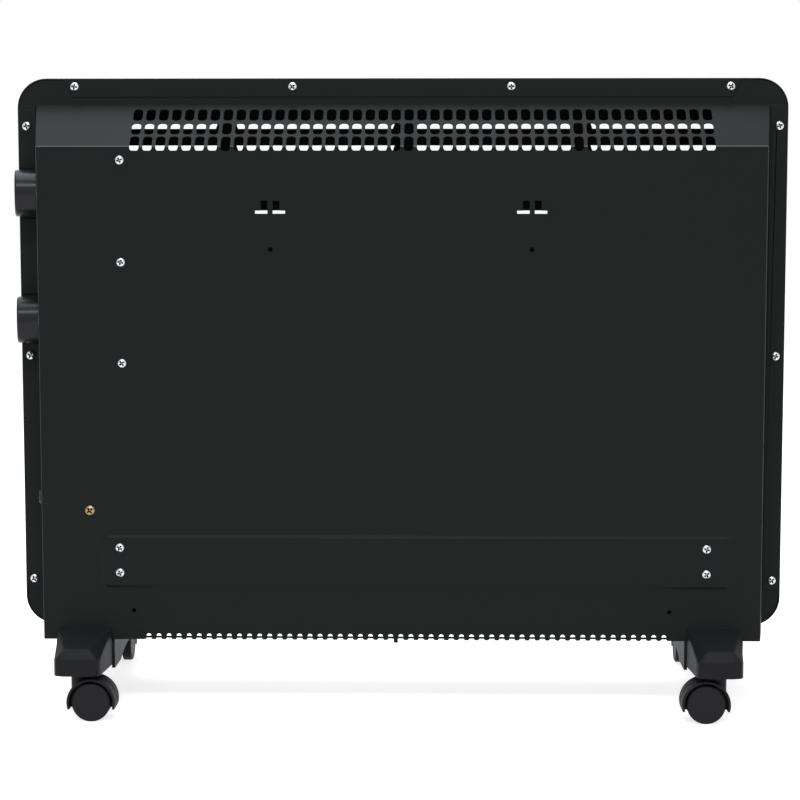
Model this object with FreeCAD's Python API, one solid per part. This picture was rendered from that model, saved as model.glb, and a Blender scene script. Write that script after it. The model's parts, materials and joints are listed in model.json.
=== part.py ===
"""Free-standing convector heater on castors, as separate solids in millimetres.

Frame: +Z up, the floor is Z = 0, the slotted front faces -Y, the back with the screws faces +Y.
The control knobs are on the +X side. The origin is on the floor, below the middle of the feet.
"""
import FreeCAD
import Part
import math
import os

V = FreeCAD.Vector

# Sheet metal and fits
SHEET = 1.0
BEND_RADIUS = 2.0
SHEET_FIT = 0.3
RUNNING_FIT = 0.05
HOLE_FIT = 0.15

# Casing: the band, its return flanges and the slotted front
PANEL_WIDTH = 644.0
PANEL_HEIGHT = 462.6
PANEL_CORNER = 24.5
CASING_DEPTH = 94.0
TOP_FLANGE = 15.2
TOP_FLANGE_END = 38.6
TOP_FLANGE_SLANT = 7.0
SIDE_FLANGE_LOW = 31.3
SIDE_FLANGE_HIGH = 21.8
FLANGE_CORNER = 3.0
KNOB_NOTCH_GAP = 1.2
INTAKE_COLUMNS = 9
INTAKE_ROWS = 2
INTAKE_LENGTH = 40.0
INTAKE_WIDTH = 22.0
INTAKE_BAR = 9.0
GRILLE_RIM = 12.0
GRILLE_BEND = 3.0
GRILLE_COLUMNS = 4
GRILLE_ROWS = 23
GRILLE_SIDE = 10.0
GRILLE_PITCH_Z = 19.0
GRILLE_BAR = 16.5
GRILLE_SLOT = 4.4
GRILLE_SLOT_SLANT = 1.5
GRILLE_TOP_MARGIN = 17.8

# Rear housing: a pan with a vented shoulder
HOUSING_DEPTH = 36.0
BACK_INSET = 21.5
SIDE_FLARE = 6.1
SHOULDER_DROP = 22.2
SHOULDER_ANGLE = 45.0
HOUSING_OVERHANG = 4.7
RIM_DROP = 1.4
LIP_DEPTH = 10.5
VENT_COLUMNS = 45
VENT_ROWS = 3
VENT_MARGIN = 117.25
VENT_PITCH_SLOPE = 17.0
VENT_WIDTH = 7.8
VENT_LENGTH = 14.0
VENT_CENTRE_X = -17.0
VENT_FIRST = 3.8
SLOT_END = 0.6
INLET_COUNT = 52
INLET_MARGIN = 160.5
INLET_WIDTH = 4.0
INLET_HEIGHT = 5.2
INLET_DEPTH = 7.0
INLET_CENTRE_X = -4.0
LIP_TAB_X = 5.0
LIP_TAB_WIDTH = 4.0
LIP_TAB_DROP = 3.2
EMBOSS_LEFT_MARGIN = 24.5
EMBOSS_RIGHT_MARGIN = 52.0
EMBOSS_LOW = 42.7
EMBOSS_HIGH = 87.5
EMBOSS_RISE = 1.6
EMBOSS_SLOPE = 2.4
EMBOSS_CORNER = 8.4
HANGER_SPACING = 215.6
HANGER_HEIGHT = 325.6
HANGER_HOLE_RADIUS = 2.1
HOOK_HEIGHT = 355.1
HOOK_RISE = 10.6
HOOK_GAP = 4.2
HOOK_STEM = 5.7
HOOK_REACH = 10.3
HOOK_SLOT = 2.5
LOW_SPACING = 448.6
LOW_HEIGHT = 23.2
LOW_HOLE_RADIUS = 1.9

# Screws
SCREW_HEAD_RADIUS = 3.8
SCREW_HEAD_HEIGHT = 2.3
SCREW_RADIUS = 1.8
SCREW_LENGTH = 9.0
HEAD_SIDES = 8
SHANK_SIDES = 6
TOP_SCREW_COUNT = 4
TOP_SCREW_END = 48.2
TOP_SCREW_INSET = 7.0
SIDE_SCREW_INSET = 7.5
SIDE_SCREW_FROM_TOP = 39.5
SIDE_SCREW_FROM_BOTTOM = 39.1
SIDE_SCREW_LOWERED = 0.6
PARTITION_SCREW_MARGIN = 69.0
PARTITION_SCREWS_Z = (398.9, 315.1, 231.4)
ELEMENT_LEFT_MARGIN = 46.0
ELEMENT_RIGHT_MARGIN = 65.3
ELEMENT_SCREWS_Z = (76.8, 55.6)
EARTH_SCREW_MARGIN = 40.5
EARTH_SCREW_Z = 108.1
EARTH_SCREW_SCALE = 1.15

# Partition and the controls
PARTITION_FLANGE = 15.0
PARTITION_LOW = 118.0
PARTITION_HIGH = 405.0
PARTITION_DEPTH = 118.0
CONTROL_BEHIND = 20.0
KNOB_HEIGHTS = (371.9, 266.5)
KNOB_RADIUS = 19.5
KNOB_LENGTH = 16.8
KNOB_GAP = 1.0
KNOB_WALL = 2.2
KNOB_RIM = 1.6
KNOB_RECESS = 1.5
KNOB_GRIP_WIDTH = 7.0
KNOB_CAVITY_DEPTH = 8.0
KNOB_HUB_RADIUS = 6.0
KNOB_SIDES = 28
SHAFT_RADIUS = 3.0
SHAFT_LENGTH = 14.0
SHAFT_FLAT = 0.55
BUSH_RADIUS = 4.6
BUSH_LENGTH = 6.5
CONTROL_SIDES = 12
CONTROL_CHAMFER = 3.0
NUT_ACROSS = 13.0
NUT_HEIGHT = 2.6
THERMOSTAT_SIZE = (24.0, 28.0, 34.0)
SWITCH_SIZE = (26.0, 26.0, 32.0)
GLAND_HEIGHT = 116.5
GLAND_FLANGE = 6.4
GLAND_NECK = 4.9
GLAND_BORE = 3.4
GLAND_RISE = 2.4
GLAND_TAIL = 7.0
CUTOUT_RADIUS = 8.0
CUTOUT_FLANGE = 11.0
CUTOUT_HEIGHT = 9.0
CUTOUT_Z = 150.0
BLOCK_SIZE = (14.0, 20.0, 42.0)
BLOCK_Z = 190.0
BLOCK_WAY = 2.2
BLOCK_SCREW = 2.6
TAB_WIDTH = 6.2
TAB_LENGTH = 7.0
TAB_SHEET = 0.8

# Heating element
ELEMENT_BEHIND = 62.0
ELEMENT_Z = 70.0
ELEMENT_WING = 62.0
ELEMENT_WING_SHEET = 2.4
ELEMENT_WING_ANGLE = 32.0
ELEMENT_HUB = 7.0
ROD_RADIUS = 3.3
ROD_TAIL = 20.0
ROD_SIDES = 12
INSULATOR_FLANGE = 8.5
INSULATOR_NECK = 5.6
INSULATOR_LENGTH = 6.0
BRACKET_FOOT = 14.0
BRACKET_HEIGHT = 36.0

# Feet
GROUND_CLEARANCE = 61.8
FOOT_INSET = 58.5
FOOT_OFFSET = 1.9
FOOT_LENGTH = 266.0
REAR_OVERHANG = 48.0
FOOT_WALL = 2.6
FOOT_HALF = 24.5
FOOT_UNDERSIDE = 39.5
HEEL_DROP = 3.5
FOOT_ARCH = 7.0
ARCH_REAR = 33.0
ARCH_FRONT = 15.0
NOSE_ROOT_RISE = 8.4
NOSE_ROOT_TOP = 22.3
NOSE_ROOT_HALF = 22.8
NOSE_ROOT_SHOULDER = 13.6
NOSE_TIP_DROP = 1.0
NOSE_TIP_TOP = 10.8
NOSE_TIP_HALF = 17.4
NOSE_SHOULDER = 7.6
NOSE_CHAMFER = 5.6
NOSE_ROUND = 7.0
NOSE_LAP = 12.0
SOCKET_RADIUS = 8.0
FOOT_SCREW_PITCH = 50.0
FOOT_SCREW_LENGTH = 10.0

# Castors
CASTOR_FROM_TIP = 18.0
CASTOR_TRAIL = 10.5
WHEEL_RADIUS = 16.0
WHEEL_WIDTH = 8.5
WHEEL_CHAMFER = 1.4
WHEEL_SIDES = 20
HOOD_RADIUS = 20.0
HOOD_GAP = 1.8
HOOD_WIDTH = 24.0
HOOD_DROP = 5.6
HOOD_SIDES = 9
WEB_WIDTH = 5.0
WHEEL_SIDE_GAP = 0.5
AXLE_RADIUS = 2.5
AXLE_SINK = 2.5
AXLE_SIDES = 12
NECK_RADIUS = 7.0
STEM_RADIUS = 4.0
STEM_LENGTH = 17.0
STEM_SIDES = 12
THRUST_GAP = 0.3

# Levels and planes that follow from the sizes above
Z_BASE = GROUND_CLEARANCE
Z_RIM = Z_BASE - RIM_DROP
Z_CASE = Z_BASE + HOUSING_OVERHANG
Z_TOP = Z_CASE + PANEL_HEIGHT
Z_SHOULDER = Z_TOP - SHOULDER_DROP
Z_FOLD = Z_SHOULDER - HOUSING_DEPTH
Y_BACK = FOOT_LENGTH / 2 - REAR_OVERHANG
Y_FLANGE = Y_BACK - HOUSING_DEPTH
Y_FRONT = Y_FLANGE - CASING_DEPTH
Y_INSIDE = Y_BACK - SHEET
Y_PAD = Y_BACK + EMBOSS_RISE
HALF_PANEL = PANEL_WIDTH / 2
HALF_BACK = HALF_PANEL - BACK_INSET
BACK_WIDTH = 2 * HALF_BACK
GRILLE_PITCH_X = (PANEL_WIDTH - 2 * GRILLE_SIDE) / GRILLE_COLUMNS
VENT_PITCH_X = (BACK_WIDTH - VENT_MARGIN) / VENT_COLUMNS
INLET_PITCH = (BACK_WIDTH - INLET_MARGIN) / INLET_COUNT
EMBOSS_LEFT = EMBOSS_LEFT_MARGIN - HALF_BACK
EMBOSS_RIGHT = HALF_BACK - EMBOSS_RIGHT_MARGIN
PARTITION_SCREW_X = HALF_BACK - PARTITION_SCREW_MARGIN
ELEMENT_SCREW_LEFT = ELEMENT_LEFT_MARGIN - HALF_BACK
ELEMENT_SCREW_RIGHT = HALF_BACK - ELEMENT_RIGHT_MARGIN
EARTH_SCREW_X = HALF_BACK - EARTH_SCREW_MARGIN
FAR = 4 * PANEL_WIDTH
FLARE_ANGLE = math.degrees(math.atan2(SIDE_FLARE, HOUSING_DEPTH))
SCREW_HOLE = SCREW_RADIUS + HOLE_FIT
REAR, RIGHT, UP = V(0, 1, 0), V(1, 0, 0), V(0, 0, 1)


def polygon_face(points):
    """A flat face through the points, in order."""
    return Part.Face(Part.makePolygon(list(points) + [points[0]]))


def prism(points, direction):
    """A solid swept from a polygon along a vector."""
    return polygon_face(points).extrude(direction)


def box(low, high):
    """A box between two corners."""
    size = high - low
    return Part.makeBox(size.x, size.y, size.z, low)


def ring_points(centre, axis, radius, sides, turn=0.0):
    """Corners of a regular polygon square to an axis, with a corner at the lowest place."""
    side = UP.cross(axis) if abs(axis.z) < 0.9 else RIGHT
    side = V(side).normalize()
    low = V(axis).cross(side).normalize()
    low = -low if low.z > 0 else low
    angles = [math.radians(turn) + 2 * math.pi * i / sides for i in range(sides)]
    return [centre + low * (radius * math.cos(a)) + side * (radius * math.sin(a)) for a in angles]


def round_bar(centre, axis, radius, length, sides):
    """A faceted round bar from a centre along an axis."""
    return prism(ring_points(centre, axis, radius, sides), V(axis).normalize() * length)


def running_hole(centre, axis, radius, length, sides):
    """A faceted hole whose flats stay clear of a round of a radius by the running fit."""
    return round_bar(centre, axis, (radius + RUNNING_FIT) / math.cos(math.pi / sides), length, sides)


def turned(axis_start, axis, stations, sides):
    """A faceted turned solid through (distance, radius) stations along an axis, all faces flat."""
    step = V(axis).normalize()
    rings = [ring_points(axis_start + step * d, step, r, sides) for d, r in stations]
    faces = [polygon_face(rings[0]), polygon_face(rings[-1])]
    for near, far in zip(rings, rings[1:]):
        for i in range(sides):
            j = (i + 1) % sides
            faces.append(polygon_face([near[i], near[j], far[j], far[i]]))
    return Part.makeSolid(Part.makeShell(faces))


def rounded_rectangle(left, right, low, high, radius, y):
    """A rounded rectangle wire in a plane of constant Y."""
    k = radius * (1 - math.sqrt(0.5))
    corners = [(right, low, -1, 1), (right, high, -1, -1), (left, high, 1, -1), (left, low, 1, 1)]
    edges = []
    ends = []
    for index, (x, z, sx, sz) in enumerate(corners):
        a = V(x + sx * radius, y, z)
        b = V(x, y, z + sz * radius)
        start, stop = (a, b) if index % 2 == 0 else (b, a)
        ends.append((start, stop))
        edges.append(Part.Arc(start, V(x + sx * k, y, z + sz * k), stop).toShape())
    for index in range(4):
        edges.append(Part.makeLine(ends[index][1], ends[(index + 1) % 4][0]))
    return Part.Wire(Part.__sortEdges__(edges))


def panel_block(inset, y_low, y_high):
    """The casing's rounded outline, inset by a distance, between two planes of Y."""
    wire = rounded_rectangle(
        -HALF_PANEL + inset, HALF_PANEL - inset, Z_CASE + inset, Z_TOP - inset, PANEL_CORNER - inset, y_low
    )
    return Part.Face(wire).extrude(V(0, y_high - y_low, 0))


def rounded_bend(before, corner, after, radius):
    """The two tangent points and the middle of a bend of a given radius at a corner."""
    a = (before - corner).normalize()
    b = (after - corner).normalize()
    half = a.getAngle(b) / 2
    reach = radius / math.tan(half)
    centre = corner + (a + b).normalize() * (radius / math.sin(half))
    middle = centre + (corner - centre).normalize() * radius
    return corner + a * reach, middle, corner + b * reach


def bent_face(points, bends):
    """A face whose named corners are rounded as bends: bends maps a corner's index to its radius."""
    edges = []
    last = None
    count = len(points)
    first = None
    for i, corner in enumerate(points):
        start, stop = corner, corner
        arc = None
        if i in bends:
            start, middle, stop = rounded_bend(points[i - 1], corner, points[(i + 1) % count], bends[i])
            arc = Part.Arc(start, middle, stop).toShape()
        if last is not None:
            edges.append(Part.makeLine(last, start))
        else:
            first = start
        if arc:
            edges.append(arc)
        last = stop
    edges.append(Part.makeLine(last, first))
    return Part.Face(Part.Wire(edges))


def half_width(y, inset):
    """Half the housing's width at a plane of Y, inset square to the flared wall."""
    flare = math.radians(FLARE_ANGLE)
    return HALF_BACK + (Y_BACK - y) * math.tan(flare) - inset / math.cos(flare)


def pan_block(inset, mouth):
    """The housing's block inset by a distance, open to a mouth plane: side profile and plan together."""
    rear = Y_BACK - inset
    bend = BEND_RADIUS - inset
    low = Z_RIM + inset
    slope_shift = inset * math.sqrt(2)
    fold = Z_FOLD + inset - slope_shift
    top = Z_FOLD + (Y_BACK - mouth) - slope_shift
    side = [V(0, mouth, low), V(0, rear, low), V(0, rear, fold), V(0, mouth, top)]
    wide = half_width(mouth, 0) + 5
    profile = polygon_face(side)
    profile.translate(V(-wide, 0, 0))
    near, far = half_width(mouth, inset), half_width(rear, inset)
    plan = [V(-near, mouth, 0), V(-far, rear, 0), V(far, rear, 0), V(near, mouth, 0)]
    outline = bent_face(plan, {1: bend, 2: bend})
    return profile.extrude(V(2 * wide, 0, 0)).common(outline.extrude(V(0, 0, Z_TOP)))


def emboss_pad():
    """The raised band's solid, from just inside the back sheet to its flat top."""
    wires = []
    for y, inset in ((Y_BACK - SHEET / 2, 0.0), (Y_BACK, 0.0), (Y_PAD, EMBOSS_SLOPE)):
        wires.append(
            rounded_rectangle(
                EMBOSS_LEFT + inset,
                EMBOSS_RIGHT - inset,
                Z_BASE + EMBOSS_LOW + inset,
                Z_BASE + EMBOSS_HIGH - inset,
                EMBOSS_CORNER - inset,
                y,
            )
        )
    return Part.makeLoft(wires, True, True)


def slot_points(centre, across, along, width, length):
    """A slot outline with straight sides: three corners at each end stand for the round end."""
    half, reach = width / 2, length / 2
    side = reach - half * SLOT_END
    outline = [(half, side), (0, reach), (-half, side), (-half, -side), (0, -reach), (half, -side)]
    return [centre + across * a + along * b for a, b in outline]


def pattern(count, pitch, centre):
    """Evenly spaced places about a centre."""
    return [centre + (i - (count - 1) / 2) * pitch for i in range(count)]


def vent_cutters():
    """Rows of vents on the shoulder; the lowest row runs across the fold."""
    cutters = []
    fold = V(0, Y_BACK, Z_FOLD)
    for row in range(VENT_ROWS):
        tilt = math.radians(SHOULDER_ANGLE / 2 if row == 0 else SHOULDER_ANGLE)
        normal = V(0, math.cos(tilt), math.sin(tilt))
        along = V(0, -math.sin(tilt), math.cos(tilt))
        centre = fold + along * (VENT_FIRST + row * VENT_PITCH_SLOPE)
        reach = VENT_LENGTH * 0.75  # deep enough to clear both legs of the fold
        for x in pattern(VENT_COLUMNS, VENT_PITCH_X, VENT_CENTRE_X):
            place = centre + RIGHT * x - normal * reach
            outline = slot_points(place, RIGHT, along, VENT_WIDTH, VENT_LENGTH)
            cutters.append(prism(outline, normal * (2 * reach)))
    return cutters


def inlet_cutters():
    """Notches across the bottom fold."""
    cutters = []
    size = V(INLET_WIDTH, INLET_DEPTH + SHEET, INLET_HEIGHT + SHEET)
    for x in pattern(INLET_COUNT, INLET_PITCH, INLET_CENTRE_X):
        low = V(x - INLET_WIDTH / 2, Y_BACK - INLET_DEPTH, Z_RIM - SHEET)
        cutters.append(box(low, low + size))
    return cutters


def hook_cutters():
    """Two mirrored pairs of L-shaped slots for a wall bracket's hooks."""
    cutters = []
    inner, outer = HOOK_GAP / 2, HOOK_GAP / 2 + HOOK_REACH
    outline = [
        (inner, 0),
        (outer, 0),
        (outer, HOOK_SLOT),
        (inner + HOOK_STEM, HOOK_SLOT),
        (inner + HOOK_STEM, HOOK_RISE),
        (inner, HOOK_RISE),
    ]
    for pair in (-1, 1):
        for side in (-1, 1):
            x = pair * HANGER_SPACING / 2
            z = Z_BASE + HOOK_HEIGHT
            points = [V(x + side * a, Y_BACK - 3 * SHEET, z + b) for a, b in outline]
            cutters.append(prism(points, V(0, 6 * SHEET, 0)))
    return cutters


def back_hole(x, height, radius, sides):
    """A hole cutter through the back, at a height above the housing's bottom."""
    return round_bar(V(x, Y_BACK - 4 * SHEET, Z_BASE + height), REAR, radius, 10 * SHEET, sides)


def plain_hole(x, height, radius):
    """A true round hole through the back, for a screw of the user's own."""
    return Part.makeCylinder(radius, 10 * SHEET, V(x, Y_BACK - 4 * SHEET, Z_BASE + height), REAR)


def screw_places():
    """Head seats on the return flanges: four along the top and three down each side."""
    pitch = 2 * (HALF_PANEL - TOP_SCREW_END) / (TOP_SCREW_COUNT - 1)
    places = [V(x, Y_FLANGE, Z_TOP - TOP_SCREW_INSET) for x in pattern(TOP_SCREW_COUNT, pitch, 0)]
    x = HALF_PANEL - SIDE_SCREW_INSET
    high, low = Z_TOP - SIDE_SCREW_FROM_TOP, Z_CASE + SIDE_SCREW_FROM_BOTTOM
    heights = (high, (high + low) / 2 - SIDE_SCREW_LOWERED, low)
    return places + [V(s * x, Y_FLANGE, z) for z in heights for s in (-1, 1)]


def element_screw_places():
    """Head seats of the two screws at each end of the embossed band."""
    ends = (ELEMENT_SCREW_LEFT, ELEMENT_SCREW_RIGHT)
    return [V(x, Y_PAD, Z_BASE + z) for x in ends for z in ELEMENT_SCREWS_Z]


def partition_screw_places():
    """Head seats of the column of screws that hold the partition."""
    return [V(PARTITION_SCREW_X, Y_BACK, Z_BASE + z) for z in PARTITION_SCREWS_Z]


def wall_placement(height):
    """A frame on the outside of the flared +X wall: its X axis points out of the wall."""
    y = Y_BACK - CONTROL_BEHIND
    turn = FreeCAD.Rotation(UP, FLARE_ANGLE)
    return FreeCAD.Placement(V(half_width(y, 0), y, Z_BASE + height), turn)


def on_wall(shape, height):
    """A shape made about the wall's own frame, put at a height on the wall."""
    placed = shape.copy()
    placed.Placement = wall_placement(height).multiply(placed.Placement)
    return placed


def along_wall(start, radius, length, sides):
    """A faceted bar square to the wall, in the wall's frame."""
    return round_bar(V(start, 0, 0), RIGHT, radius, length, sides)


def knob_clearance(height):
    """The space round a knob that the sheets beside it leave free."""
    reach = KNOB_LENGTH + 2 * KNOB_GAP
    clear = along_wall(KNOB_GAP / 2, KNOB_RADIUS + KNOB_NOTCH_GAP, reach, CONTROL_SIDES)
    return on_wall(clear, height)


def rear_housing():
    """The pan: shoulder, flared walls, flange, emboss, vents, inlets and holes."""
    mouth = Y_FLANGE - 2 * SHEET
    pad = emboss_pad()
    pocket = pad.copy()
    pocket.translate(V(0, -SHEET, 0))
    hollow = pan_block(SHEET, mouth - SHEET).fuse(pocket)
    flange = panel_block(SHEET + SHEET_FIT, mouth, mouth + SHEET)
    tab_low = V(LIP_TAB_X - LIP_TAB_WIDTH / 2, Y_INSIDE - BEND_RADIUS, Z_RIM - LIP_TAB_DROP)
    tab = box(tab_low, tab_low + V(LIP_TAB_WIDTH, SHEET, LIP_TAB_DROP + SHEET / 2))
    shell = pan_block(0, mouth).fuse([pad, flange]).cut(hollow).fuse(tab)
    open_bottom = pan_block(SHEET, mouth - SHEET)
    open_bottom.translate(V(0, 0, -3 * SHEET))
    keep = box(V(-HALF_PANEL, mouth - 2 * SHEET, 0), V(HALF_PANEL, Y_BACK - LIP_DEPTH, Z_RIM + 2 * SHEET))
    clear = Y_FLANGE + SHEET_FIT
    inside_band = panel_block(SHEET + SHEET_FIT, mouth - SHEET, clear)
    outside = box(V(-FAR, mouth - SHEET, 0), V(FAR, clear, FAR)).cut(inside_band)
    cutters = [outside] + vent_cutters() + inlet_cutters() + hook_cutters()
    cutters += [plain_hole(s * HANGER_SPACING / 2, HANGER_HEIGHT, HANGER_HOLE_RADIUS) for s in (-1, 1)]
    cutters += [plain_hole(s * LOW_SPACING / 2, LOW_HEIGHT, LOW_HOLE_RADIUS) for s in (-1, 1)]
    for seat in partition_screw_places() + element_screw_places():
        cutters.append(back_hole(seat.x, seat.z - Z_BASE, SCREW_HOLE, SHANK_SIDES))
    cutters.append(back_hole(EARTH_SCREW_X, EARTH_SCREW_Z, SCREW_HOLE * EARTH_SCREW_SCALE, SHANK_SIDES))
    for seat in screw_places():
        cutters.append(round_bar(seat - REAR * (4 * SHEET), REAR, SCREW_HOLE, 5 * SHEET, SHANK_SIDES))
    for height in KNOB_HEIGHTS:
        bush_hole = along_wall(-3 * SHEET, BUSH_RADIUS + HOLE_FIT, 6 * SHEET, CONTROL_SIDES)
        cutters.append(on_wall(bush_hole, height))
        cutters.append(knob_clearance(height))
    gland_hole = Part.makeCylinder(GLAND_NECK + HOLE_FIT, 6 * SHEET, V(-3 * SHEET, 0, 0), RIGHT)
    cutters.append(on_wall(gland_hole, GLAND_HEIGHT))
    return shell.cut([open_bottom.common(keep)] + cutters)


def flange_strip(x_fold, x_free, z_low, z_high):
    """One side return flange with its corners at the fold cut away."""
    side = 1 if x_fold > 0 else -1
    c = side * FLANGE_CORNER
    y = Y_FLANGE - SHEET
    points = [
        V(x_free, y, z_low),
        V(x_fold - c, y, z_low),
        V(x_fold, y, z_low + FLANGE_CORNER),
        V(x_fold, y, z_high - FLANGE_CORNER),
        V(x_fold - c, y, z_high),
        V(x_free, y, z_high),
    ]
    return prism(points, V(0, SHEET, 0))


def side_flange_spans(side):
    """Heights between which a side's return flange runs: it breaks round the knobs on the +X side."""
    low, high = Z_CASE + SIDE_FLANGE_LOW, Z_TOP - SIDE_FLANGE_HIGH
    if side < 0:
        return [(low, high)]
    reach = KNOB_RADIUS + KNOB_NOTCH_GAP
    cuts = sorted(Z_BASE + h for h in KNOB_HEIGHTS)
    starts = [low] + [z + reach for z in cuts]
    stops = [z - reach for z in cuts] + [high]
    return list(zip(starts, stops))


def intake_cutters():
    """Windows through the casing's bottom, between the feet."""
    length, width = INTAKE_LENGTH, INTAKE_WIDTH
    cutters = []
    for x in pattern(INTAKE_COLUMNS, length + INTAKE_BAR, 0):
        for y in pattern(INTAKE_ROWS, width + INTAKE_BAR, (Y_FRONT + Y_FLANGE) / 2):
            low = V(x - length / 2, y - width / 2, Z_CASE - SHEET)
            cutters.append(box(low, low + V(length, width, 3 * SHEET)))
    return cutters


def casing_band():
    """The bent strip with its return flanges along the straight runs."""
    band = panel_block(0, Y_FRONT, Y_FLANGE).cut(panel_block(SHEET, Y_FRONT - SHEET, Y_FLANGE + SHEET))
    y = Y_FLANGE - SHEET
    flanges = []
    wide = HALF_PANEL - TOP_FLANGE_END
    short = wide - TOP_FLANGE_SLANT
    for fold, free in ((Z_TOP, Z_TOP - TOP_FLANGE), (Z_CASE, Z_CASE + TOP_FLANGE)):
        points = [V(-wide, y, fold), V(wide, y, fold), V(short, y, free), V(-short, y, free)]
        flanges.append(prism(points, V(0, SHEET, 0)))
    free_edge = half_width(Y_FLANGE - SHEET, 0) + SHEET_FIT
    for side in (-1, 1):
        for low, high in side_flange_spans(side):
            flanges.append(flange_strip(side * HALF_PANEL, side * free_edge, low, high))
    cutters = intake_cutters()
    for seat in screw_places():
        cutters.append(round_bar(seat - REAR * (3 * SHEET), REAR, SCREW_HOLE, 4 * SHEET, SHANK_SIDES))
    for seat in foot_screw_seats():
        cutters.append(round_bar(V(seat.x, seat.y, Z_CASE - SHEET), UP, SCREW_HOLE, 3 * SHEET, SHANK_SIDES))
    cutters += [knob_clearance(height) for height in KNOB_HEIGHTS]
    return band.fuse(flanges).cut(cutters)


def grille_cutters():
    """Rows of front slots in columns, with slightly slanted ends."""
    cutters = []
    half = (GRILLE_PITCH_X - GRILLE_BAR) / 2
    top = Z_TOP - GRILLE_TOP_MARGIN
    for row in range(GRILLE_ROWS):
        z = top - row * GRILLE_PITCH_Z
        low, high = z - GRILLE_SLOT / 2, z + GRILLE_SLOT / 2
        for x in pattern(GRILLE_COLUMNS, GRILLE_PITCH_X, 0):
            y = Y_FRONT - SHEET
            points = [
                V(x - half + GRILLE_SLOT_SLANT, y, low),
                V(x + half - GRILLE_SLOT_SLANT, y, low),
                V(x + half, y, high),
                V(x - half, y, high),
            ]
            cutters.append(prism(points, V(0, 3 * SHEET, 0)))
    return cutters


def front_tray(inset, y_face):
    """The grille's block with its front edge sloped."""
    block = panel_block(SHEET + SHEET_FIT + inset, y_face, Y_FRONT + GRILLE_RIM + inset)
    front = [e for e in block.Edges if abs(e.BoundBox.YMax - y_face) < 1e-6]
    return block.makeChamfer(GRILLE_BEND - inset * math.tan(math.radians(22.5)), front)


def front_grille():
    """The slotted front sheet with its rim folded back inside the band."""
    sheet = front_tray(0, Y_FRONT).cut(front_tray(SHEET, Y_FRONT + SHEET))
    return sheet.cut(grille_cutters())


def screw(seat, axis, head_radius, head_height, radius, length, washer=0.0):
    """A pan-head screw: seat is the middle of the face that the head bears on, axis points out of it."""
    out = V(axis).normalize()
    dome = [(0, head_radius), (head_height, head_radius * 0.7)]
    head = turned(seat + out * washer, out, dome, HEAD_SIDES)
    shank = round_bar(seat - out * length, out, radius, length + washer + head_height / 2, SHANK_SIDES)
    return head.fuse(shank)


def screw_group(seats, axis, length):
    """Separate screws that share one node."""
    return [screw(s, axis, SCREW_HEAD_RADIUS, SCREW_HEAD_HEIGHT, SCREW_RADIUS, length) for s in seats]


def earth_seat():
    """The middle of the brass screw's seat on the back."""
    return V(EARTH_SCREW_X, Y_BACK, Z_BASE + EARTH_SCREW_Z)


def earth_screw():
    """The larger brass screw."""
    k = EARTH_SCREW_SCALE
    return screw(
        earth_seat(), REAR, SCREW_HEAD_RADIUS * k, SCREW_HEAD_HEIGHT * k, SCREW_RADIUS * k, SCREW_LENGTH
    )


def earth_lug():
    """A ring tongue on the inside of the back, held by the brass screw."""
    seat = earth_seat() - REAR * (2 * SHEET)
    hole = SCREW_HOLE * EARTH_SCREW_SCALE
    ring = round_bar(seat, REAR, 2 * hole, SHEET, CONTROL_SIDES)
    tongue = box(seat + V(-hole, 0, 0), seat + V(hole, SHEET, 8 * hole))
    barrel = round_bar(seat + V(0, SHEET - hole, 7 * hole), UP, hole, 5 * hole, SHANK_SIDES)
    return ring.fuse([tongue, barrel]).cut(round_bar(seat - REAR, REAR, hole, 3 * SHEET, SHANK_SIDES))


def partition_edge():
    """The +X face of the partition's web."""
    return PARTITION_SCREW_X + PARTITION_FLANGE / 2


def partition():
    """A sheet angle that screens the controls: a flange on the back and a web towards the front."""
    edge = partition_edge()
    low, high = Z_BASE + PARTITION_LOW, Z_BASE + PARTITION_HIGH
    flange = box(V(edge - PARTITION_FLANGE, Y_INSIDE - SHEET, low), V(edge, Y_INSIDE, high))
    web = box(V(edge - SHEET, Y_INSIDE - PARTITION_DEPTH, low), V(edge, Y_INSIDE, high))
    cutters = []
    for seat in partition_screw_places():
        cutters.append(back_hole(seat.x, seat.z - Z_BASE, SCREW_HOLE, SHANK_SIDES))
    return flange.fuse(web).cut(cutters)


def control_body(size, height):
    """A control's body behind the wall with its threaded bush through the wall."""
    depth, wide, tall = size
    body = box(V(-SHEET - depth, -wide / 2, -tall / 2), V(-SHEET, wide / 2, tall / 2))
    upright = [e for e in body.Edges if abs(e.BoundBox.XLength - depth) < 1e-6]
    body = body.makeChamfer(CONTROL_CHAMFER, upright)
    bush = along_wall(-SHEET, BUSH_RADIUS, SHEET + BUSH_LENGTH, CONTROL_SIDES)
    bore = running_hole(V(-SHEET, 0, 0), RIGHT, SHAFT_RADIUS, 3 * SHEET + BUSH_LENGTH, CONTROL_SIDES)
    return on_wall(body.fuse(bush).cut(bore), height)


def terminal_tabs(size):
    """The row of flat terminals on the back of a control, in the wall's frame."""
    depth, wide, tall = size
    tabs = []
    for z in pattern(3, tall / 4, 0):
        low = V(-SHEET - depth - TAB_LENGTH, -TAB_WIDTH / 2, z - TAB_SHEET / 2)
        tabs.append(box(low, low + V(TAB_LENGTH, TAB_WIDTH, TAB_SHEET)))
    return tabs


def control(size, height):
    """A control with its terminals."""
    tabs = [on_wall(tab, height) for tab in terminal_tabs(size)]
    return control_body(size, height).fuse(tabs)


def control_shaft(height):
    """The shaft that turns in a control's bush, with a flat for the knob."""
    shaft = along_wall(-SHEET / 2, SHAFT_RADIUS, SHAFT_LENGTH, CONTROL_SIDES)
    wide = 2 * SHAFT_RADIUS
    flat = box(V(BUSH_LENGTH + SHEET, -wide, SHAFT_RADIUS * SHAFT_FLAT), V(SHAFT_LENGTH, wide, wide))
    return on_wall(shaft.cut(flat), height)


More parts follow.
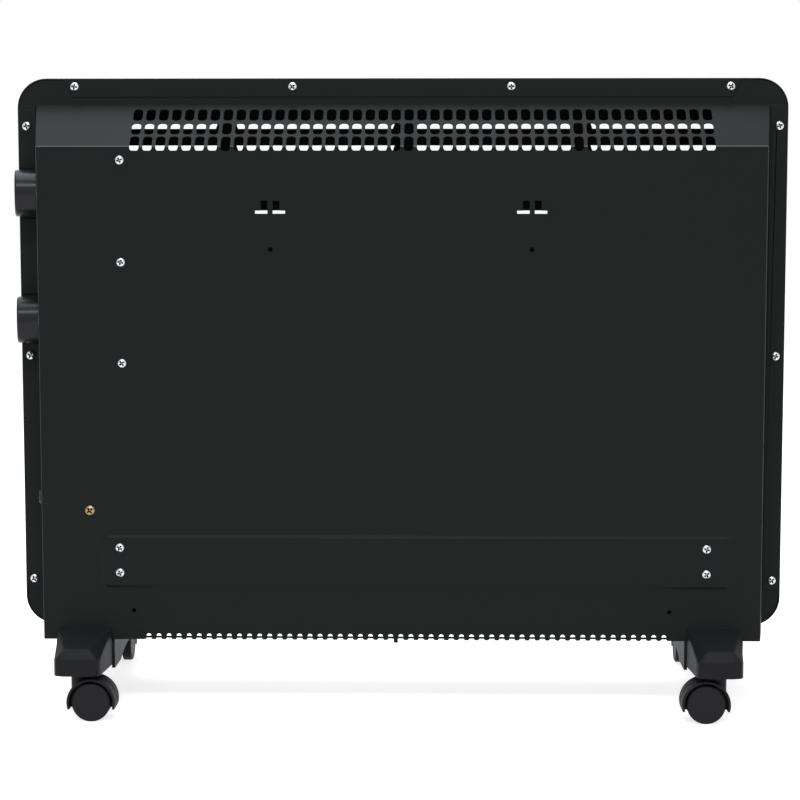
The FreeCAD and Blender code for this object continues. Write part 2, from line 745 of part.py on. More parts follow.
def control_nut(height):
    """A hexagon nut on a control's bush, outside the wall."""
    nut = along_wall(0, NUT_ACROSS / math.sqrt(3), NUT_HEIGHT, 6)
    hole = along_wall(-SHEET, BUSH_RADIUS + RUNNING_FIT, NUT_HEIGHT + 2 * SHEET, CONTROL_SIDES)
    return on_wall(nut.cut(hole), height)


def knob(height):
    """A turned knob with a hollow back, a hub on the shaft and a grip bar in its recessed face."""
    start, end = KNOB_GAP, KNOB_GAP + KNOB_LENGTH
    axis_start = V(0, 0, 0)
    skin = turned(
        axis_start,
        RIGHT,
        [(start, KNOB_RADIUS), (end - KNOB_RIM, KNOB_RADIUS), (end, KNOB_RADIUS - KNOB_RIM)],
        KNOB_SIDES,
    )
    cavity = along_wall(0, KNOB_RADIUS - KNOB_WALL, start + KNOB_CAVITY_DEPTH, KNOB_SIDES // 2)
    dish = along_wall(end - KNOB_RECESS, KNOB_RADIUS - 2 * KNOB_WALL, KNOB_RECESS + 1, KNOB_SIDES // 2)
    grip = box(V(0, -KNOB_RADIUS, -KNOB_GRIP_WIDTH / 2), V(end + 2, KNOB_RADIUS, KNOB_GRIP_WIDTH / 2))
    hub = along_wall(BUSH_LENGTH + SHEET / 2, KNOB_HUB_RADIUS, KNOB_CAVITY_DEPTH, CONTROL_SIDES)
    bore = running_hole(V(0, 0, 0), RIGHT, SHAFT_RADIUS, SHAFT_LENGTH, CONTROL_SIDES)
    return on_wall(skin.cut([cavity, dish.cut(grip)]).fuse(hub).cut(bore), height)


def cord_gland():
    """A flanged bush in the side wall with a round through bore, revolved from its profile."""
    profile = [
        (-GLAND_TAIL, GLAND_BORE),
        (-GLAND_TAIL, GLAND_NECK),
        (0, GLAND_NECK),
        (0, GLAND_FLANGE),
        (GLAND_RISE / 2, GLAND_FLANGE),
        (GLAND_RISE, GLAND_NECK),
        (GLAND_RISE, GLAND_BORE),
    ]
    face = polygon_face([V(x, 0, r) for x, r in profile])
    return on_wall(face.revolve(V(0, 0, 0), RIGHT, 360), GLAND_HEIGHT)


def thermal_cutout():
    """A button thermostat on the web's warm side, with its two terminals."""
    y = Y_INSIDE - PARTITION_DEPTH / 2
    x = partition_edge() - SHEET
    z = Z_BASE + CUTOUT_Z
    can = round_bar(V(x, y, z), -RIGHT, CUTOUT_FLANGE, SHEET, CONTROL_SIDES)
    button = round_bar(V(x, y, z), -RIGHT, CUTOUT_RADIUS, CUTOUT_HEIGHT, CONTROL_SIDES)
    return can.fuse(button)


def terminal_block():
    """A moulded block of three ways on the web's cool side."""
    x_size, y_size, z_size = BLOCK_SIZE
    low = V(partition_edge(), Y_INSIDE - PARTITION_DEPTH / 2 - y_size / 2, Z_BASE + BLOCK_Z)
    body = box(low, low + V(x_size, y_size, z_size))
    cutters = []
    for z in pattern(3, z_size / 3, low.z + z_size / 2):
        place = V(low.x, low.y - 1, z)
        cutters.append(round_bar(place + RIGHT * (x_size * 0.4), REAR, BLOCK_WAY, y_size + 2, SHANK_SIDES))
        top = V(low.x + x_size * 0.6, low.y + y_size / 2, z)
        cutters.append(round_bar(top, RIGHT, BLOCK_SCREW, x_size, SHANK_SIDES))
    return body.cut(cutters)


def element_axis():
    """Y and Z of the heater rod's axis."""
    return Y_BACK - ELEMENT_BEHIND, Z_BASE + ELEMENT_Z


def bracket_arm(x_screw):
    """X of the middle of an end bracket's arm, on the inner side of its screws."""
    inward = 1 if x_screw < 0 else -1
    return x_screw + inward * (BRACKET_FOOT / 2 - SHEET / 2)


def element_bracket(x_screw):
    """A sheet angle from the embossed band to the rod's end."""
    y_axis, z_axis = element_axis()
    face = Y_PAD - SHEET
    middle = Z_BASE + (ELEMENT_SCREWS_Z[0] + ELEMENT_SCREWS_Z[1]) / 2
    half = BRACKET_HEIGHT / 2
    arm_x = bracket_arm(x_screw)
    foot = box(
        V(x_screw - BRACKET_FOOT / 2, face - SHEET, middle - half),
        V(x_screw + BRACKET_FOOT / 2, face, middle + half),
    )
    arm_end = y_axis - 2 * INSULATOR_FLANGE
    arm = box(V(arm_x - SHEET / 2, arm_end, middle - half), V(arm_x + SHEET / 2, face, middle + half))
    start = V(arm_x - 3 * SHEET, y_axis, z_axis)
    cutters = [round_bar(start, RIGHT, INSULATOR_NECK + HOLE_FIT, 6 * SHEET, CONTROL_SIDES)]
    for z in ELEMENT_SCREWS_Z:
        cutters.append(back_hole(x_screw, z, SCREW_HOLE, SHANK_SIDES))
    return foot.fuse(arm).cut(cutters)


def element_insulator(x_screw):
    """A stepped ceramic bush in a bracket's arm, flange towards the element."""
    y_axis, z_axis = element_axis()
    inward = RIGHT if x_screw < 0 else -RIGHT
    face = V(bracket_arm(x_screw), y_axis, z_axis) + inward * (SHEET / 2)
    flange = round_bar(face, inward, INSULATOR_FLANGE, INSULATOR_LENGTH, CONTROL_SIDES)
    neck = round_bar(face - inward * (4 * SHEET), inward, INSULATOR_NECK, 4 * SHEET, CONTROL_SIDES)
    reach = INSULATOR_LENGTH + 4 * SHEET
    bore = round_bar(face - inward * reach, inward, ROD_RADIUS + RUNNING_FIT, 2 * reach, ROD_SIDES)
    return flange.fuse(neck).cut(bore)


def element_span():
    """X of the two flange faces between which the element body lies."""
    reach = SHEET / 2 + INSULATOR_LENGTH
    return bracket_arm(ELEMENT_SCREW_LEFT) + reach, bracket_arm(ELEMENT_SCREW_RIGHT) - reach


def heating_element():
    """An extruded element: four wings from a hub that grips the rod."""
    y_axis, z_axis = element_axis()
    left, right = element_span()
    length = right - left
    start = V(left, y_axis, z_axis)
    body = round_bar(start, RIGHT, ELEMENT_HUB, length, CONTROL_SIDES)
    wings = []
    for angle in (-ELEMENT_WING_ANGLE, ELEMENT_WING_ANGLE):
        low = V(0, -ELEMENT_WING_SHEET / 2, -ELEMENT_WING / 2)
        wing = box(low, low + V(length, ELEMENT_WING_SHEET, ELEMENT_WING))
        wing.Placement = FreeCAD.Placement(start, FreeCAD.Rotation(RIGHT, angle))
        wings.append(wing)
    bore = round_bar(start - RIGHT, RIGHT, ROD_RADIUS + RUNNING_FIT, length + 2, ROD_SIDES)
    return body.fuse(wings).cut(bore)


def element_rod():
    """The sheathed rod through the element, with a flat blade at each end."""
    y_axis, z_axis = element_axis()
    left = bracket_arm(ELEMENT_SCREW_LEFT) - ROD_TAIL
    right = bracket_arm(ELEMENT_SCREW_RIGHT) + ROD_TAIL
    rod = round_bar(V(left, y_axis, z_axis), RIGHT, ROD_RADIUS, right - left, ROD_SIDES)
    blades = []
    for x, side in ((left, -1), (right, 1)):
        near, far = sorted((x - side * ROD_RADIUS, x + side * TAB_LENGTH))
        low = V(near, y_axis - TAB_WIDTH / 2, z_axis - TAB_SHEET / 2)
        blades.append(box(low, low + V(far - near, TAB_WIDTH, TAB_SHEET)))
    return rod.fuse(blades)


def across(point):
    """The point mirrored to the other side of a foot's middle plane."""
    return V(-point.x, point.y, point.z)


def foot_middle(side):
    """X of a foot's middle: the feet sit a little towards the knobs."""
    return FOOT_OFFSET + side * (HALF_PANEL - FOOT_INSET)


def nose_points(y_root, y_tip):
    """The +X half of a nose: the ends of its top edge, and the corners of the edge below its slope."""
    way = 1 if y_tip > y_root else -1
    top_z = Z_BASE + NOSE_ROOT_RISE
    tip_z = Z_BASE - NOSE_TIP_DROP
    edge = tip_z - NOSE_SHOULDER
    bend = NOSE_ROUND * 0.3
    top = [V(NOSE_ROOT_TOP, y_root, top_z), V(NOSE_TIP_TOP, y_tip - way * NOSE_CHAMFER, tip_z)]
    rim = [V(NOSE_ROOT_HALF, y_root, top_z - NOSE_ROOT_SHOULDER)]
    rim.append(V(NOSE_TIP_HALF, y_tip - way * NOSE_ROUND, edge))
    rim.append(V(NOSE_TIP_HALF - bend, y_tip - way * bend, edge))
    rim.append(V(NOSE_TIP_HALF - NOSE_ROUND, y_tip, edge))
    return top, rim


def nose_block(y_root, y_tip):
    """A foot's tapered nose: its side slopes turn from upright at the root to flat-angled at the tip."""
    top, rim = nose_points(y_root, y_tip)
    low = [V(p.x, p.y, FOOT_UNDERSIDE) for p in rim]
    half = [[top[0], rim[0], rim[1]], [top[0], rim[1], top[1]]]
    half += [[top[1], rim[i], rim[i + 1]] for i in (1, 2)]
    half += [[rim[i], low[i], low[i + 1], rim[i + 1]] for i in range(3)]
    faces = [polygon_face(points) for points in half]
    faces += [polygon_face([across(p) for p in points]) for points in half]
    middle = [[top[1], rim[3]], [rim[3], low[3]], [top[0], top[1]], [low[0], rim[0], top[0]]]
    for points in middle:
        faces.append(polygon_face(points + [across(p) for p in reversed(points)]))
    faces.append(polygon_face(low + [across(p) for p in reversed(low)]))
    nose = Part.makeSolid(Part.makeShell(faces))
    lap = y_root - NOSE_LAP if y_tip > y_root else y_root + NOSE_LAP
    near, far = sorted((lap, y_root))
    back = box(V(-NOSE_ROOT_TOP, near, FOOT_UNDERSIDE), V(NOSE_ROOT_TOP, far, top[0].z))
    return nose.fuse(back)


def foot_block():
    """A foot's whole outline: two noses and the middle, cleared for the heater above."""
    tip = FOOT_LENGTH / 2
    low = FOOT_UNDERSIDE - HEEL_DROP
    middle = box(V(-FOOT_HALF, Y_FRONT, low), V(FOOT_HALF, Y_BACK, Z_RIM))
    middle = middle.fuse(box(V(-FOOT_HALF, Y_FRONT, low), V(FOOT_HALF, Y_FLANGE, Z_CASE)))
    gap = SHEET_FIT
    pan = box(V(-PANEL_WIDTH, Y_FRONT, Z_RIM - gap), V(PANEL_WIDTH, Y_BACK + gap, Z_TOP))
    step = Y_FLANGE - 3 * SHEET
    pan = pan.cut(box(V(-PANEL_WIDTH, Y_FRONT - 1, 0), V(PANEL_WIDTH, step, Z_CASE - gap)))
    case = box(V(-PANEL_WIDTH, Y_FRONT - gap, Z_CASE - gap), V(PANEL_WIDTH, Y_FLANGE, Z_TOP))
    return middle.fuse([nose_block(Y_BACK, tip), nose_block(Y_FRONT, -tip)]).cut([pan, case])


def socket_bore(y):
    """The bore that a castor's stem turns in."""
    return running_hole(V(0, y, FOOT_UNDERSIDE - 1), UP, STEM_RADIUS, STEM_LENGTH + 2, STEM_SIDES)


def foot_screw_seats(side=None):
    """Undersides of the foot's top wall where its screws bear."""
    sides = (-1, 1) if side is None else (side,)
    z = Z_CASE - SHEET_FIT - FOOT_WALL
    rows = pattern(2, FOOT_SCREW_PITCH, (Y_FRONT + Y_FLANGE) / 2)
    return [V(foot_middle(s), y, z) for s in sides for y in rows]


def foot_hollow():
    """The open underside of a foot: a tapered space in each nose and a straight one between."""
    half = FOOT_HALF - FOOT_WALL
    ceiling = Z_RIM - SHEET_FIT - FOOT_WALL
    step = Y_FLANGE - 3 * SHEET - FOOT_WALL
    rooms = [box(V(-half, Y_FRONT, 0), V(half, Y_BACK, ceiling))]
    rooms.append(box(V(-half, Y_FRONT, 0), V(half, step, ceiling + Z_CASE - Z_RIM)))
    for root, tip in ((Y_BACK, FOOT_LENGTH / 2), (Y_FRONT, -FOOT_LENGTH / 2)):
        way = 1 if tip > root else -1
        wide, narrow = NOSE_TIP_HALF - FOOT_WALL, NOSE_TIP_TOP - FOOT_WALL / 2
        near, far = root - way * NOSE_LAP, tip - way * (NOSE_CHAMFER + FOOT_WALL)
        waist = NOSE_ROOT_TOP - FOOT_WALL
        plan = [V(-waist, near, 0), V(waist, near, 0), V(waist, root, 0), V(wide, far, 0)]
        plan += [V(-wide, far, 0), V(-waist, root, 0)]
        rooms.append(prism(plan, UP * (Z_BASE - NOSE_TIP_DROP - NOSE_SHOULDER)))
        plan = [V(-waist, near, 0), V(waist, near, 0), V(waist, root, 0), V(narrow, far, 0)]
        plan += [V(-narrow, far, 0), V(-waist, root, 0)]
        rooms.append(prism(plan, UP * ceiling))
    return rooms


def foot_arch():
    """The arch that is taken from under the middle of a foot."""
    rear, front = Y_BACK - ARCH_REAR, Y_FRONT + ARCH_FRONT
    half = (rear - front) / 2
    radius = (half * half + FOOT_ARCH * FOOT_ARCH) / (2 * FOOT_ARCH)
    low = V(-FAR, (rear + front) / 2, FOOT_UNDERSIDE - HEEL_DROP + FOOT_ARCH - radius)
    return Part.makeCylinder(radius, 2 * FAR, low, RIGHT)


def foot(side):
    """A hollow moulded foot: a nose at each end, an arched middle and two castor sockets."""
    outline = foot_block()
    shell = outline.cut(foot_hollow() + [foot_arch()])
    places = (castor_place(), -castor_place())
    bosses = [round_bar(V(0, y, FOOT_UNDERSIDE), UP, SOCKET_RADIUS, Z_TOP, CONTROL_SIDES) for y in places]
    shell = shell.fuse([boss.common(outline) for boss in bosses])
    cutters = [socket_bore(y) for y in places]
    for seat in foot_screw_seats(side):
        cutters.append(round_bar(V(0, seat.y, seat.z - 1), UP, SCREW_HOLE, FOOT_WALL + 2, SHANK_SIDES))
    shell = shell.cut(cutters)
    shell.translate(V(foot_middle(side), 0, 0))
    return shell


def castor_place():
    """Distance of the castor stems from the middle plane."""
    return FOOT_LENGTH / 2 - CASTOR_FROM_TIP


def castor_frame(side, end):
    """A castor's frame: the floor below its stem, X axis towards its wheels' axle at rest."""
    place = V(foot_middle(side), end * castor_place(), 0)
    heading = (180.0 if side > 0 else 0.0) if end > 0 else 90.0
    return FreeCAD.Placement(place, FreeCAD.Rotation(UP, heading))


def hub_point(y=0.0):
    """A point on the castor's axle line, in the castor's frame."""
    return V(CASTOR_TRAIL, y, WHEEL_RADIUS)


def castor_hood():
    """The swivelling body: a hood over both wheels, a web that carries the axle, a neck and a stem."""
    half = HOOD_WIDTH / 2
    inner = HOOD_RADIUS - 2 * SHEET
    hood = round_bar(hub_point(-half), REAR, HOOD_RADIUS, HOOD_WIDTH, 2 * HOOD_SIDES)
    space = round_bar(hub_point(-half - 1), REAR, inner, HOOD_WIDTH + 2, 2 * HOOD_SIDES)
    web = round_bar(hub_point(-WEB_WIDTH / 2), REAR, inner + SHEET, WEB_WIDTH, 2 * HOOD_SIDES)
    neck_top = FOOT_UNDERSIDE - THRUST_GAP
    neck = round_bar(V(0, 0, WHEEL_RADIUS), UP, NECK_RADIUS, neck_top - WHEEL_RADIUS, STEM_SIDES)
    below = box(V(-FAR, -FAR, -FAR), V(FAR, FAR, WHEEL_RADIUS - HOOD_DROP))
    stem = round_bar(V(0, 0, neck_top - 1), UP, STEM_RADIUS, STEM_LENGTH + 1, STEM_SIDES)
    bore = running_hole(hub_point(-WEB_WIDTH), REAR, AXLE_RADIUS, 2 * WEB_WIDTH, AXLE_SIDES)
    return hood.fuse(neck).cut(space).fuse(web).cut([below, bore]).fuse(stem)


def castor_wheel(side):
    """One of a castor's two wheels: a tread with chamfered edges and a bore for the axle."""
    start = side * (WEB_WIDTH / 2 + WHEEL_SIDE_GAP)
    tread = WHEEL_RADIUS - WHEEL_CHAMFER
    stations = [(0, WHEEL_RADIUS), (WHEEL_WIDTH - WHEEL_CHAMFER, WHEEL_RADIUS), (WHEEL_WIDTH, tread)]
    wheel = turned(hub_point(start), REAR * side, stations, WHEEL_SIDES)
    bore = running_hole(hub_point(start) - REAR * side, REAR * side, AXLE_RADIUS, WHEEL_WIDTH - 1, AXLE_SIDES)
    return wheel.cut(bore)


def castor_axle():
    """The axle that both wheels are pressed on."""
    half = WEB_WIDTH / 2 + WHEEL_SIDE_GAP + WHEEL_WIDTH - AXLE_SINK
    return round_bar(hub_point(-half), REAR, AXLE_RADIUS, 2 * half, AXLE_SIDES)


def castors():
    """All castor pieces by node name, each at its own place."""
    pieces = {}
    for end, end_name in ((1, "rear"), (-1, "front")):
        for side, side_name in ((-1, "left"), (1, "right")):
            frame = castor_frame(side, end)
            made = {
                "hood": castor_hood(),
                "axle": castor_axle(),
                "wheel_inner": castor_wheel(-1),
                "wheel_outer": castor_wheel(1),
            }
            for name, shape in made.items():
                shape.Placement = frame.multiply(shape.Placement)
                pieces["castor_%s_%s_%s" % (end_name, side_name, name)] = shape
    return pieces


def build():
    """Every piece by node name."""
    upper, lower = KNOB_HEIGHTS
    pieces = {
        "rear_housing": rear_housing(),
        "casing_band": casing_band(),
        "front_grille": front_grille(),
        "casing_screws": screw_group(screw_places(), REAR, SCREW_LENGTH),
        "partition_screws": screw_group(partition_screw_places(), REAR, SCREW_LENGTH),
        "element_screws": screw_group(element_screw_places(), REAR, SCREW_LENGTH),
        "foot_screws": screw_group(foot_screw_seats(), -UP, FOOT_SCREW_LENGTH),
        "earth_screw": earth_screw(),
        "earth_lug": earth_lug(),
        "partition": partition(),
        "thermostat": control(THERMOSTAT_SIZE, upper),
        "power_switch": control(SWITCH_SIZE, lower),
        "control_nuts": [control_nut(h) for h in KNOB_HEIGHTS],
        "thermostat_shaft": control_shaft(upper),
        "power_shaft": control_shaft(lower),
        "thermostat_knob": knob(upper),
        "power_knob": knob(lower),
        "cord_gland": cord_gland(),
        "thermal_cutout": thermal_cutout(),
        "terminal_block": terminal_block(),
        "heating_element": heating_element(),
        "element_rod": element_rod(),
        "element_insulators": [element_insulator(x) for x in (ELEMENT_SCREW_LEFT, ELEMENT_SCREW_RIGHT)],
        "element_bracket_left": element_bracket(ELEMENT_SCREW_LEFT),
        "element_bracket_right": element_bracket(ELEMENT_SCREW_RIGHT),
        "foot_left": foot(-1),
        "foot_right": foot(1),
    }
    pieces.update(castors())
    return pieces


def export(pieces):
    """Write each piece to its own STEP file and print what it is."""
    os.makedirs("parts", exist_ok=True)
    for name, made in pieces.items():
        solids = made if isinstance(made, list) else [made]
        solids = [s for shape in solids for s in shape.removeSplitter().Solids]
        shape = solids[0] if len(solids) == 1 else Part.makeCompound(solids)
        shape.exportStep("parts/%s.step" % name)
        print("%-34s solids %2d valid %s volume %.0f" % (name, len(solids), shape.isValid(), shape.Volume))


export(build())
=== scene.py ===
"""Looks for the free-standing convector heater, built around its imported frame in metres."""

import json
import logging
import math
from dataclasses import dataclass, replace
from enum import Enum
from typing import Dict, Iterable, List, Optional, Sequence, Tuple

import bmesh
import bpy
from mathutils import Matrix, Vector


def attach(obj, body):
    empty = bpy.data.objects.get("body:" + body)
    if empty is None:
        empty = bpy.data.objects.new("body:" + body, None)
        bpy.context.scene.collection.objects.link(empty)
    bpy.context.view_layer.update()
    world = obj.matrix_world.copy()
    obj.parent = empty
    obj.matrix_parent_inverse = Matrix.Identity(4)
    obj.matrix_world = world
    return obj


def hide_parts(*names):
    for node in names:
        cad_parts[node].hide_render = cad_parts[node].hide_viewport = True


logging.basicConfig(level=logging.INFO, format="%(message)s")
LOG = logging.getLogger("heater")

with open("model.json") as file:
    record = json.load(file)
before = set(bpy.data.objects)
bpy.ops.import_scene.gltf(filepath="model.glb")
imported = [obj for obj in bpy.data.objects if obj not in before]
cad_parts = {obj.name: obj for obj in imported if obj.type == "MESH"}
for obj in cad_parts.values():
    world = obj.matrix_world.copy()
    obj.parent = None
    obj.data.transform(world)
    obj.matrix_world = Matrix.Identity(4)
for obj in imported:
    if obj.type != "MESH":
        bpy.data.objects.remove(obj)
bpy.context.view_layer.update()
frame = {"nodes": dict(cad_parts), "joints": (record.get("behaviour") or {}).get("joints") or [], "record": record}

Shape = bmesh.types.BMesh
Pair = Tuple[float, float]
Triple = Tuple[float, float, float]

MM = 0.001
FULL_TURN = 2 * math.pi

# Corners this near to a place, in millimetres, count as lying there.
NEAR = 0.1

# Edges that bend more than this stay sharp in the shading.
SHARP_DEG = 28.0

# The roughness drifts over patches of about this size, in millimetres.
DRIFT_MM = 40.0

# Share of the fine relief's full height that shows.
RELIEF_STRENGTH = 0.6

# Painted shade in the recesses of bare metal: the openness below which the painted dark colour is full, and the
# openness at which the metal's own colour is back.
CREVICE_PAINTED_SHADE = (0.76, "#0c0c0d")
CREVICE_SHADE_OPEN = 0.96

# Face attribute that marks where a highlight is painted on the coat, along its outer folds and upper edge.
FOLD_HIGHLIGHT_MARK = "painted_fold_highlight"


class Slot(str, Enum):
    """Material slots of the record."""

    POWDER = "black_powder_coat"
    ZINC = "zinc_plated_steel"
    BRASS = "brass"
    GALVANISED = "galvanised_sheet"
    PHENOLIC = "moulded_phenolic"
    STEEL = "bright_steel"
    KNOB = "knob_plastic"
    GLAND = "gland_plastic"
    ELEMENT = "element_aluminium"
    CERAMIC = "ceramic"
    FOOT = "foot_plastic"
    CASTOR = "castor_plastic"
    WHEEL = "wheel_plastic"


class Carve(str, Enum):
    """Ways of combining two closed shapes."""

    ADD = "UNION"
    TAKE = "DIFFERENCE"


def linear(code: str) -> Tuple[float, float, float, float]:
    """Turn an sRGB hex colour into linear RGBA.

    Args:
        code: six hex digits, with or without a leading hash.

    Returns:
        The linear colour with alpha 1.
    """
    digits = code.lstrip("#")
    channels = [int(digits[i : i + 2], 16) / 255 for i in (0, 2, 4)]
    values = [c / 12.92 if c <= 0.04045 else ((c + 0.055) / 1.055) ** 2.4 for c in channels]
    return (values[0], values[1], values[2], 1.0)


@dataclass(frozen=True)
class Finish:
    """One real material's numbers.

    Attributes:
        title: the material's name.
        colour: sRGB hex base colour.
        roughness: mean surface roughness.
        metallic: 1 for bare metal, 0 otherwise.
        grain_mm: size of the fine texture, in millimetres.
        relief_mm: height of the fine texture, in millimetres.
        wander: how far the roughness drifts over the surface.
        edge_mm: radius that softens sharp edges to the eye, in millimetres.
        specular: reflection level of a coated or moulded surface.
        crevice_shade_mm: how near another surface must be for painted shade to darken the metal, in millimetres.
        painted_highlight_colour: sRGB hex colour painted as a highlight on faces that the piece marks.
    """

    title: str
    colour: str
    roughness: float
    metallic: float = 0.0
    grain_mm: float = 1.0
    relief_mm: float = 0.02
    wander: float = 0.05
    edge_mm: float = 0.0
    specular: float = 0.5
    crevice_shade_mm: float = 0.0
    painted_highlight_colour: str = ""


FINISHES: Dict[Slot, Finish] = {
    # Satin black coat: a fine orange peel that breaks up the soft light on the flat sheets.
    Slot.POWDER: Finish(
        "black powder coat", "#1c1d1d", 0.4, grain_mm=0.9, relief_mm=0.012, edge_mm=0.5, specular=0.08
    ),
    # Bright zinc: pale, slightly clouded metal that stands out on the black coat, with painted shade in its
    # recesses.
    Slot.ZINC: Finish(
        "zinc plated steel", "#d9dbde", 0.26, metallic=1.0, grain_mm=0.5, relief_mm=0.004, crevice_shade_mm=1.6
    ),
    # Warm yellow metal of the earth screw, with painted shade in its recesses.
    Slot.BRASS: Finish(
        "brass", "#9e8e70", 0.34, metallic=1.0, grain_mm=0.5, relief_mm=0.004, crevice_shade_mm=1.6
    ),
    # Dull spangled sheet inside the casing.
    Slot.GALVANISED: Finish(
        "galvanised sheet", "#a9adb1", 0.45, metallic=1.0, grain_mm=6.0, relief_mm=0.004
    ),
    # Dark moulded bodies of the controls.
    Slot.PHENOLIC: Finish("phenolic moulding", "#2b2724", 0.5, grain_mm=0.7),
    # Turned steel of shafts and axles.
    Slot.STEEL: Finish("bright steel", "#b9bcc0", 0.25, metallic=1.0, grain_mm=0.4, relief_mm=0.003),
    # Satin knob moulding: smooth, with a clear highlight along the barrel.
    Slot.KNOB: Finish("knob polymer", "#19191b", 0.25, grain_mm=0.5, relief_mm=0.004, specular=0.19),
    # Slightly glossy bush.
    Slot.GLAND: Finish(
        "nylon bush", "#222224", 0.35, grain_mm=0.5, relief_mm=0.006, edge_mm=0.3, specular=0.2
    ),
    # Mill-finish extrusion.
    Slot.ELEMENT: Finish(
        "extruded aluminium", "#b4b7ba", 0.35, metallic=1.0, grain_mm=0.8, relief_mm=0.004
    ),
    # Unglazed white bush.
    Slot.CERAMIC: Finish("steatite ceramic", "#ddd6c8", 0.6, grain_mm=0.6),
    # Fine-textured polypropylene that turns pale at a grazing angle.
    Slot.FOOT: Finish(
        "textured polypropylene", "#1c1c1e", 0.5, grain_mm=0.6, relief_mm=0.02, specular=0.11
    ),
    # Castor body moulding, a little smoother than the feet.
    Slot.CASTOR: Finish("moulded nylon", "#1f1f22", 0.55, grain_mm=0.6, relief_mm=0.008, specular=0.13),
    # Wheel moulding, a dull grey black.
    Slot.WHEEL: Finish("wheel polymer", "#222225", 0.5, grain_mm=0.5, relief_mm=0.008, specular=0.12),
}

# The same coat on the deep pressing, with a paler line painted along its outer folds and upper edge as a
# highlight.
HIGHLIT_PRESSED_COAT = replace(FINISHES[Slot.POWDER], title="pressed powder coat", painted_highlight_colour="#5c5d61")


def add_node(tree: bpy.types.NodeTree, kind: str, **inputs: object) -> bpy.types.Node:
    """Add a node and set or link its inputs by socket name (underscores for spaces).

    Args:
        tree: the node tree.
        kind: the node's type name.
        inputs: values, or output sockets to link, by socket name.

    Returns:
        The new node.
    """
    made = tree.nodes.new(kind)
    for key, value in inputs.items():
        socket = made.inputs[key.replace("_", " ")]
        if isinstance(value, bpy.types.NodeSocket):
            tree.links.new(value, socket)
        else:
            socket.default_value = value
    return made


class MaterialShop:
    """Makes and keeps one procedural material per finish."""

    def __init__(self) -> None:
        """Start with no materials."""
        self.made: Dict[Finish, bpy.types.Material] = {}

    def get(self, finish: Finish) -> bpy.types.Material:
        """Return the finish's material, making it at first use.

        Args:
            finish: the finish's numbers.

        Returns:
            The material.
        """
        if finish not in self.made:
            self.made[finish] = self.build(finish)
        return self.made[finish]

    def build(self, finish: Finish) -> bpy.types.Material:
        """Build a finish as a shader: drifting roughness, fine relief, softened edges, painted shade in recesses
        and a painted highlight on marked faces.

        Args:
            finish: the finish's numbers.

        Returns:
            The material.
        """
        material = bpy.data.materials.new(finish.title.replace(" ", "_"))
        material.use_nodes = True
        tree = material.node_tree
        shader = tree.nodes["Principled BSDF"]
        shader.inputs["Base Color"].default_value = linear(finish.colour)
        shader.inputs["Metallic"].default_value = finish.metallic
        shader.inputs["Specular IOR Level"].default_value = finish.specular
        place = add_node(tree, "ShaderNodeTexCoord").outputs["Object"]
        # Painted shade: the colour turns dark where other surfaces lie near, in recesses and where parts meet.
        if finish.crevice_shade_mm > 0:
            recess_shade = add_node(tree, "ShaderNodeAmbientOcclusion", Distance=finish.crevice_shade_mm * MM)
            recess_shade.samples = 8
            recess_shade.only_local = True
            self.two_tone(tree, shader, recess_shade.outputs["AO"], CREVICE_PAINTED_SHADE, (CREVICE_SHADE_OPEN, finish.colour))
        # Painted highlight: the marked faces take a paler colour.
        if finish.painted_highlight_colour:
            mark = tree.nodes.new("ShaderNodeAttribute")
            mark.attribute_name = FOLD_HIGHLIGHT_MARK
            highlight_stop = (1.0, finish.painted_highlight_colour)
            self.two_tone(tree, shader, mark.outputs["Fac"], (0.0, finish.colour), highlight_stop)
        drift = add_node(tree, "ShaderNodeTexNoise", Vector=place, Scale=1.0 / (DRIFT_MM * MM), Detail=2.0)
        level = add_node(
            tree,
            "ShaderNodeMapRange",
            Value=drift.outputs["Fac"],
            To_Min=finish.roughness - finish.wander,
            To_Max=finish.roughness + finish.wander,
        )
        tree.links.new(level.outputs["Result"], shader.inputs["Roughness"])
        grain = 1.0 / (finish.grain_mm * MM)
        peel = add_node(tree, "ShaderNodeTexNoise", Vector=place, Scale=grain, Detail=1.0)
        bump = add_node(
            tree,
            "ShaderNodeBump",
            Strength=RELIEF_STRENGTH,
            Distance=finish.relief_mm * MM,
            Height=peel.outputs["Fac"],
        )
        if finish.edge_mm > 0:
            soft = add_node(tree, "ShaderNodeBevel", Radius=finish.edge_mm * MM)
            soft.samples = 6
            tree.links.new(soft.outputs["Normal"], bump.inputs["Normal"])
        tree.links.new(bump.outputs["Normal"], shader.inputs["Normal"])
        return material

    @staticmethod
    def two_tone(
        tree: bpy.types.NodeTree,
        shader: bpy.types.Node,
        level: bpy.types.NodeSocket,
        low: Tuple[float, str],
        high: Tuple[float, str],
    ) -> None:
        """Let a level drive the shader's colour between two stops.

        Args:
            tree: the node tree.
            shader: the shader whose colour is driven.
            level: the socket that drives it.
            low: the lower level and its colour.
            high: the higher level and its colour.
        """
        ramp = add_node(tree, "ShaderNodeValToRGB", Fac=level)
        for stop, (position, colour) in zip(ramp.color_ramp.elements, (low, high)):
            stop.position = position
            stop.color = linear(colour)
        tree.links.new(ramp.outputs["Color"], shader.inputs["Base Color"])


SHOP = MaterialShop()


def dress_nodes() -> None:
    """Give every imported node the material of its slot."""
    slots = {row["node"]: Slot(row["material_slot"]) for row in frame["record"]["subparts"]}
    for name, obj in frame["nodes"].items():
        obj.data.materials.clear()
        obj.data.materials.append(SHOP.get(FINISHES[slots[name]]))
        LOG.info("node %s takes %s", name, slots[name].value)


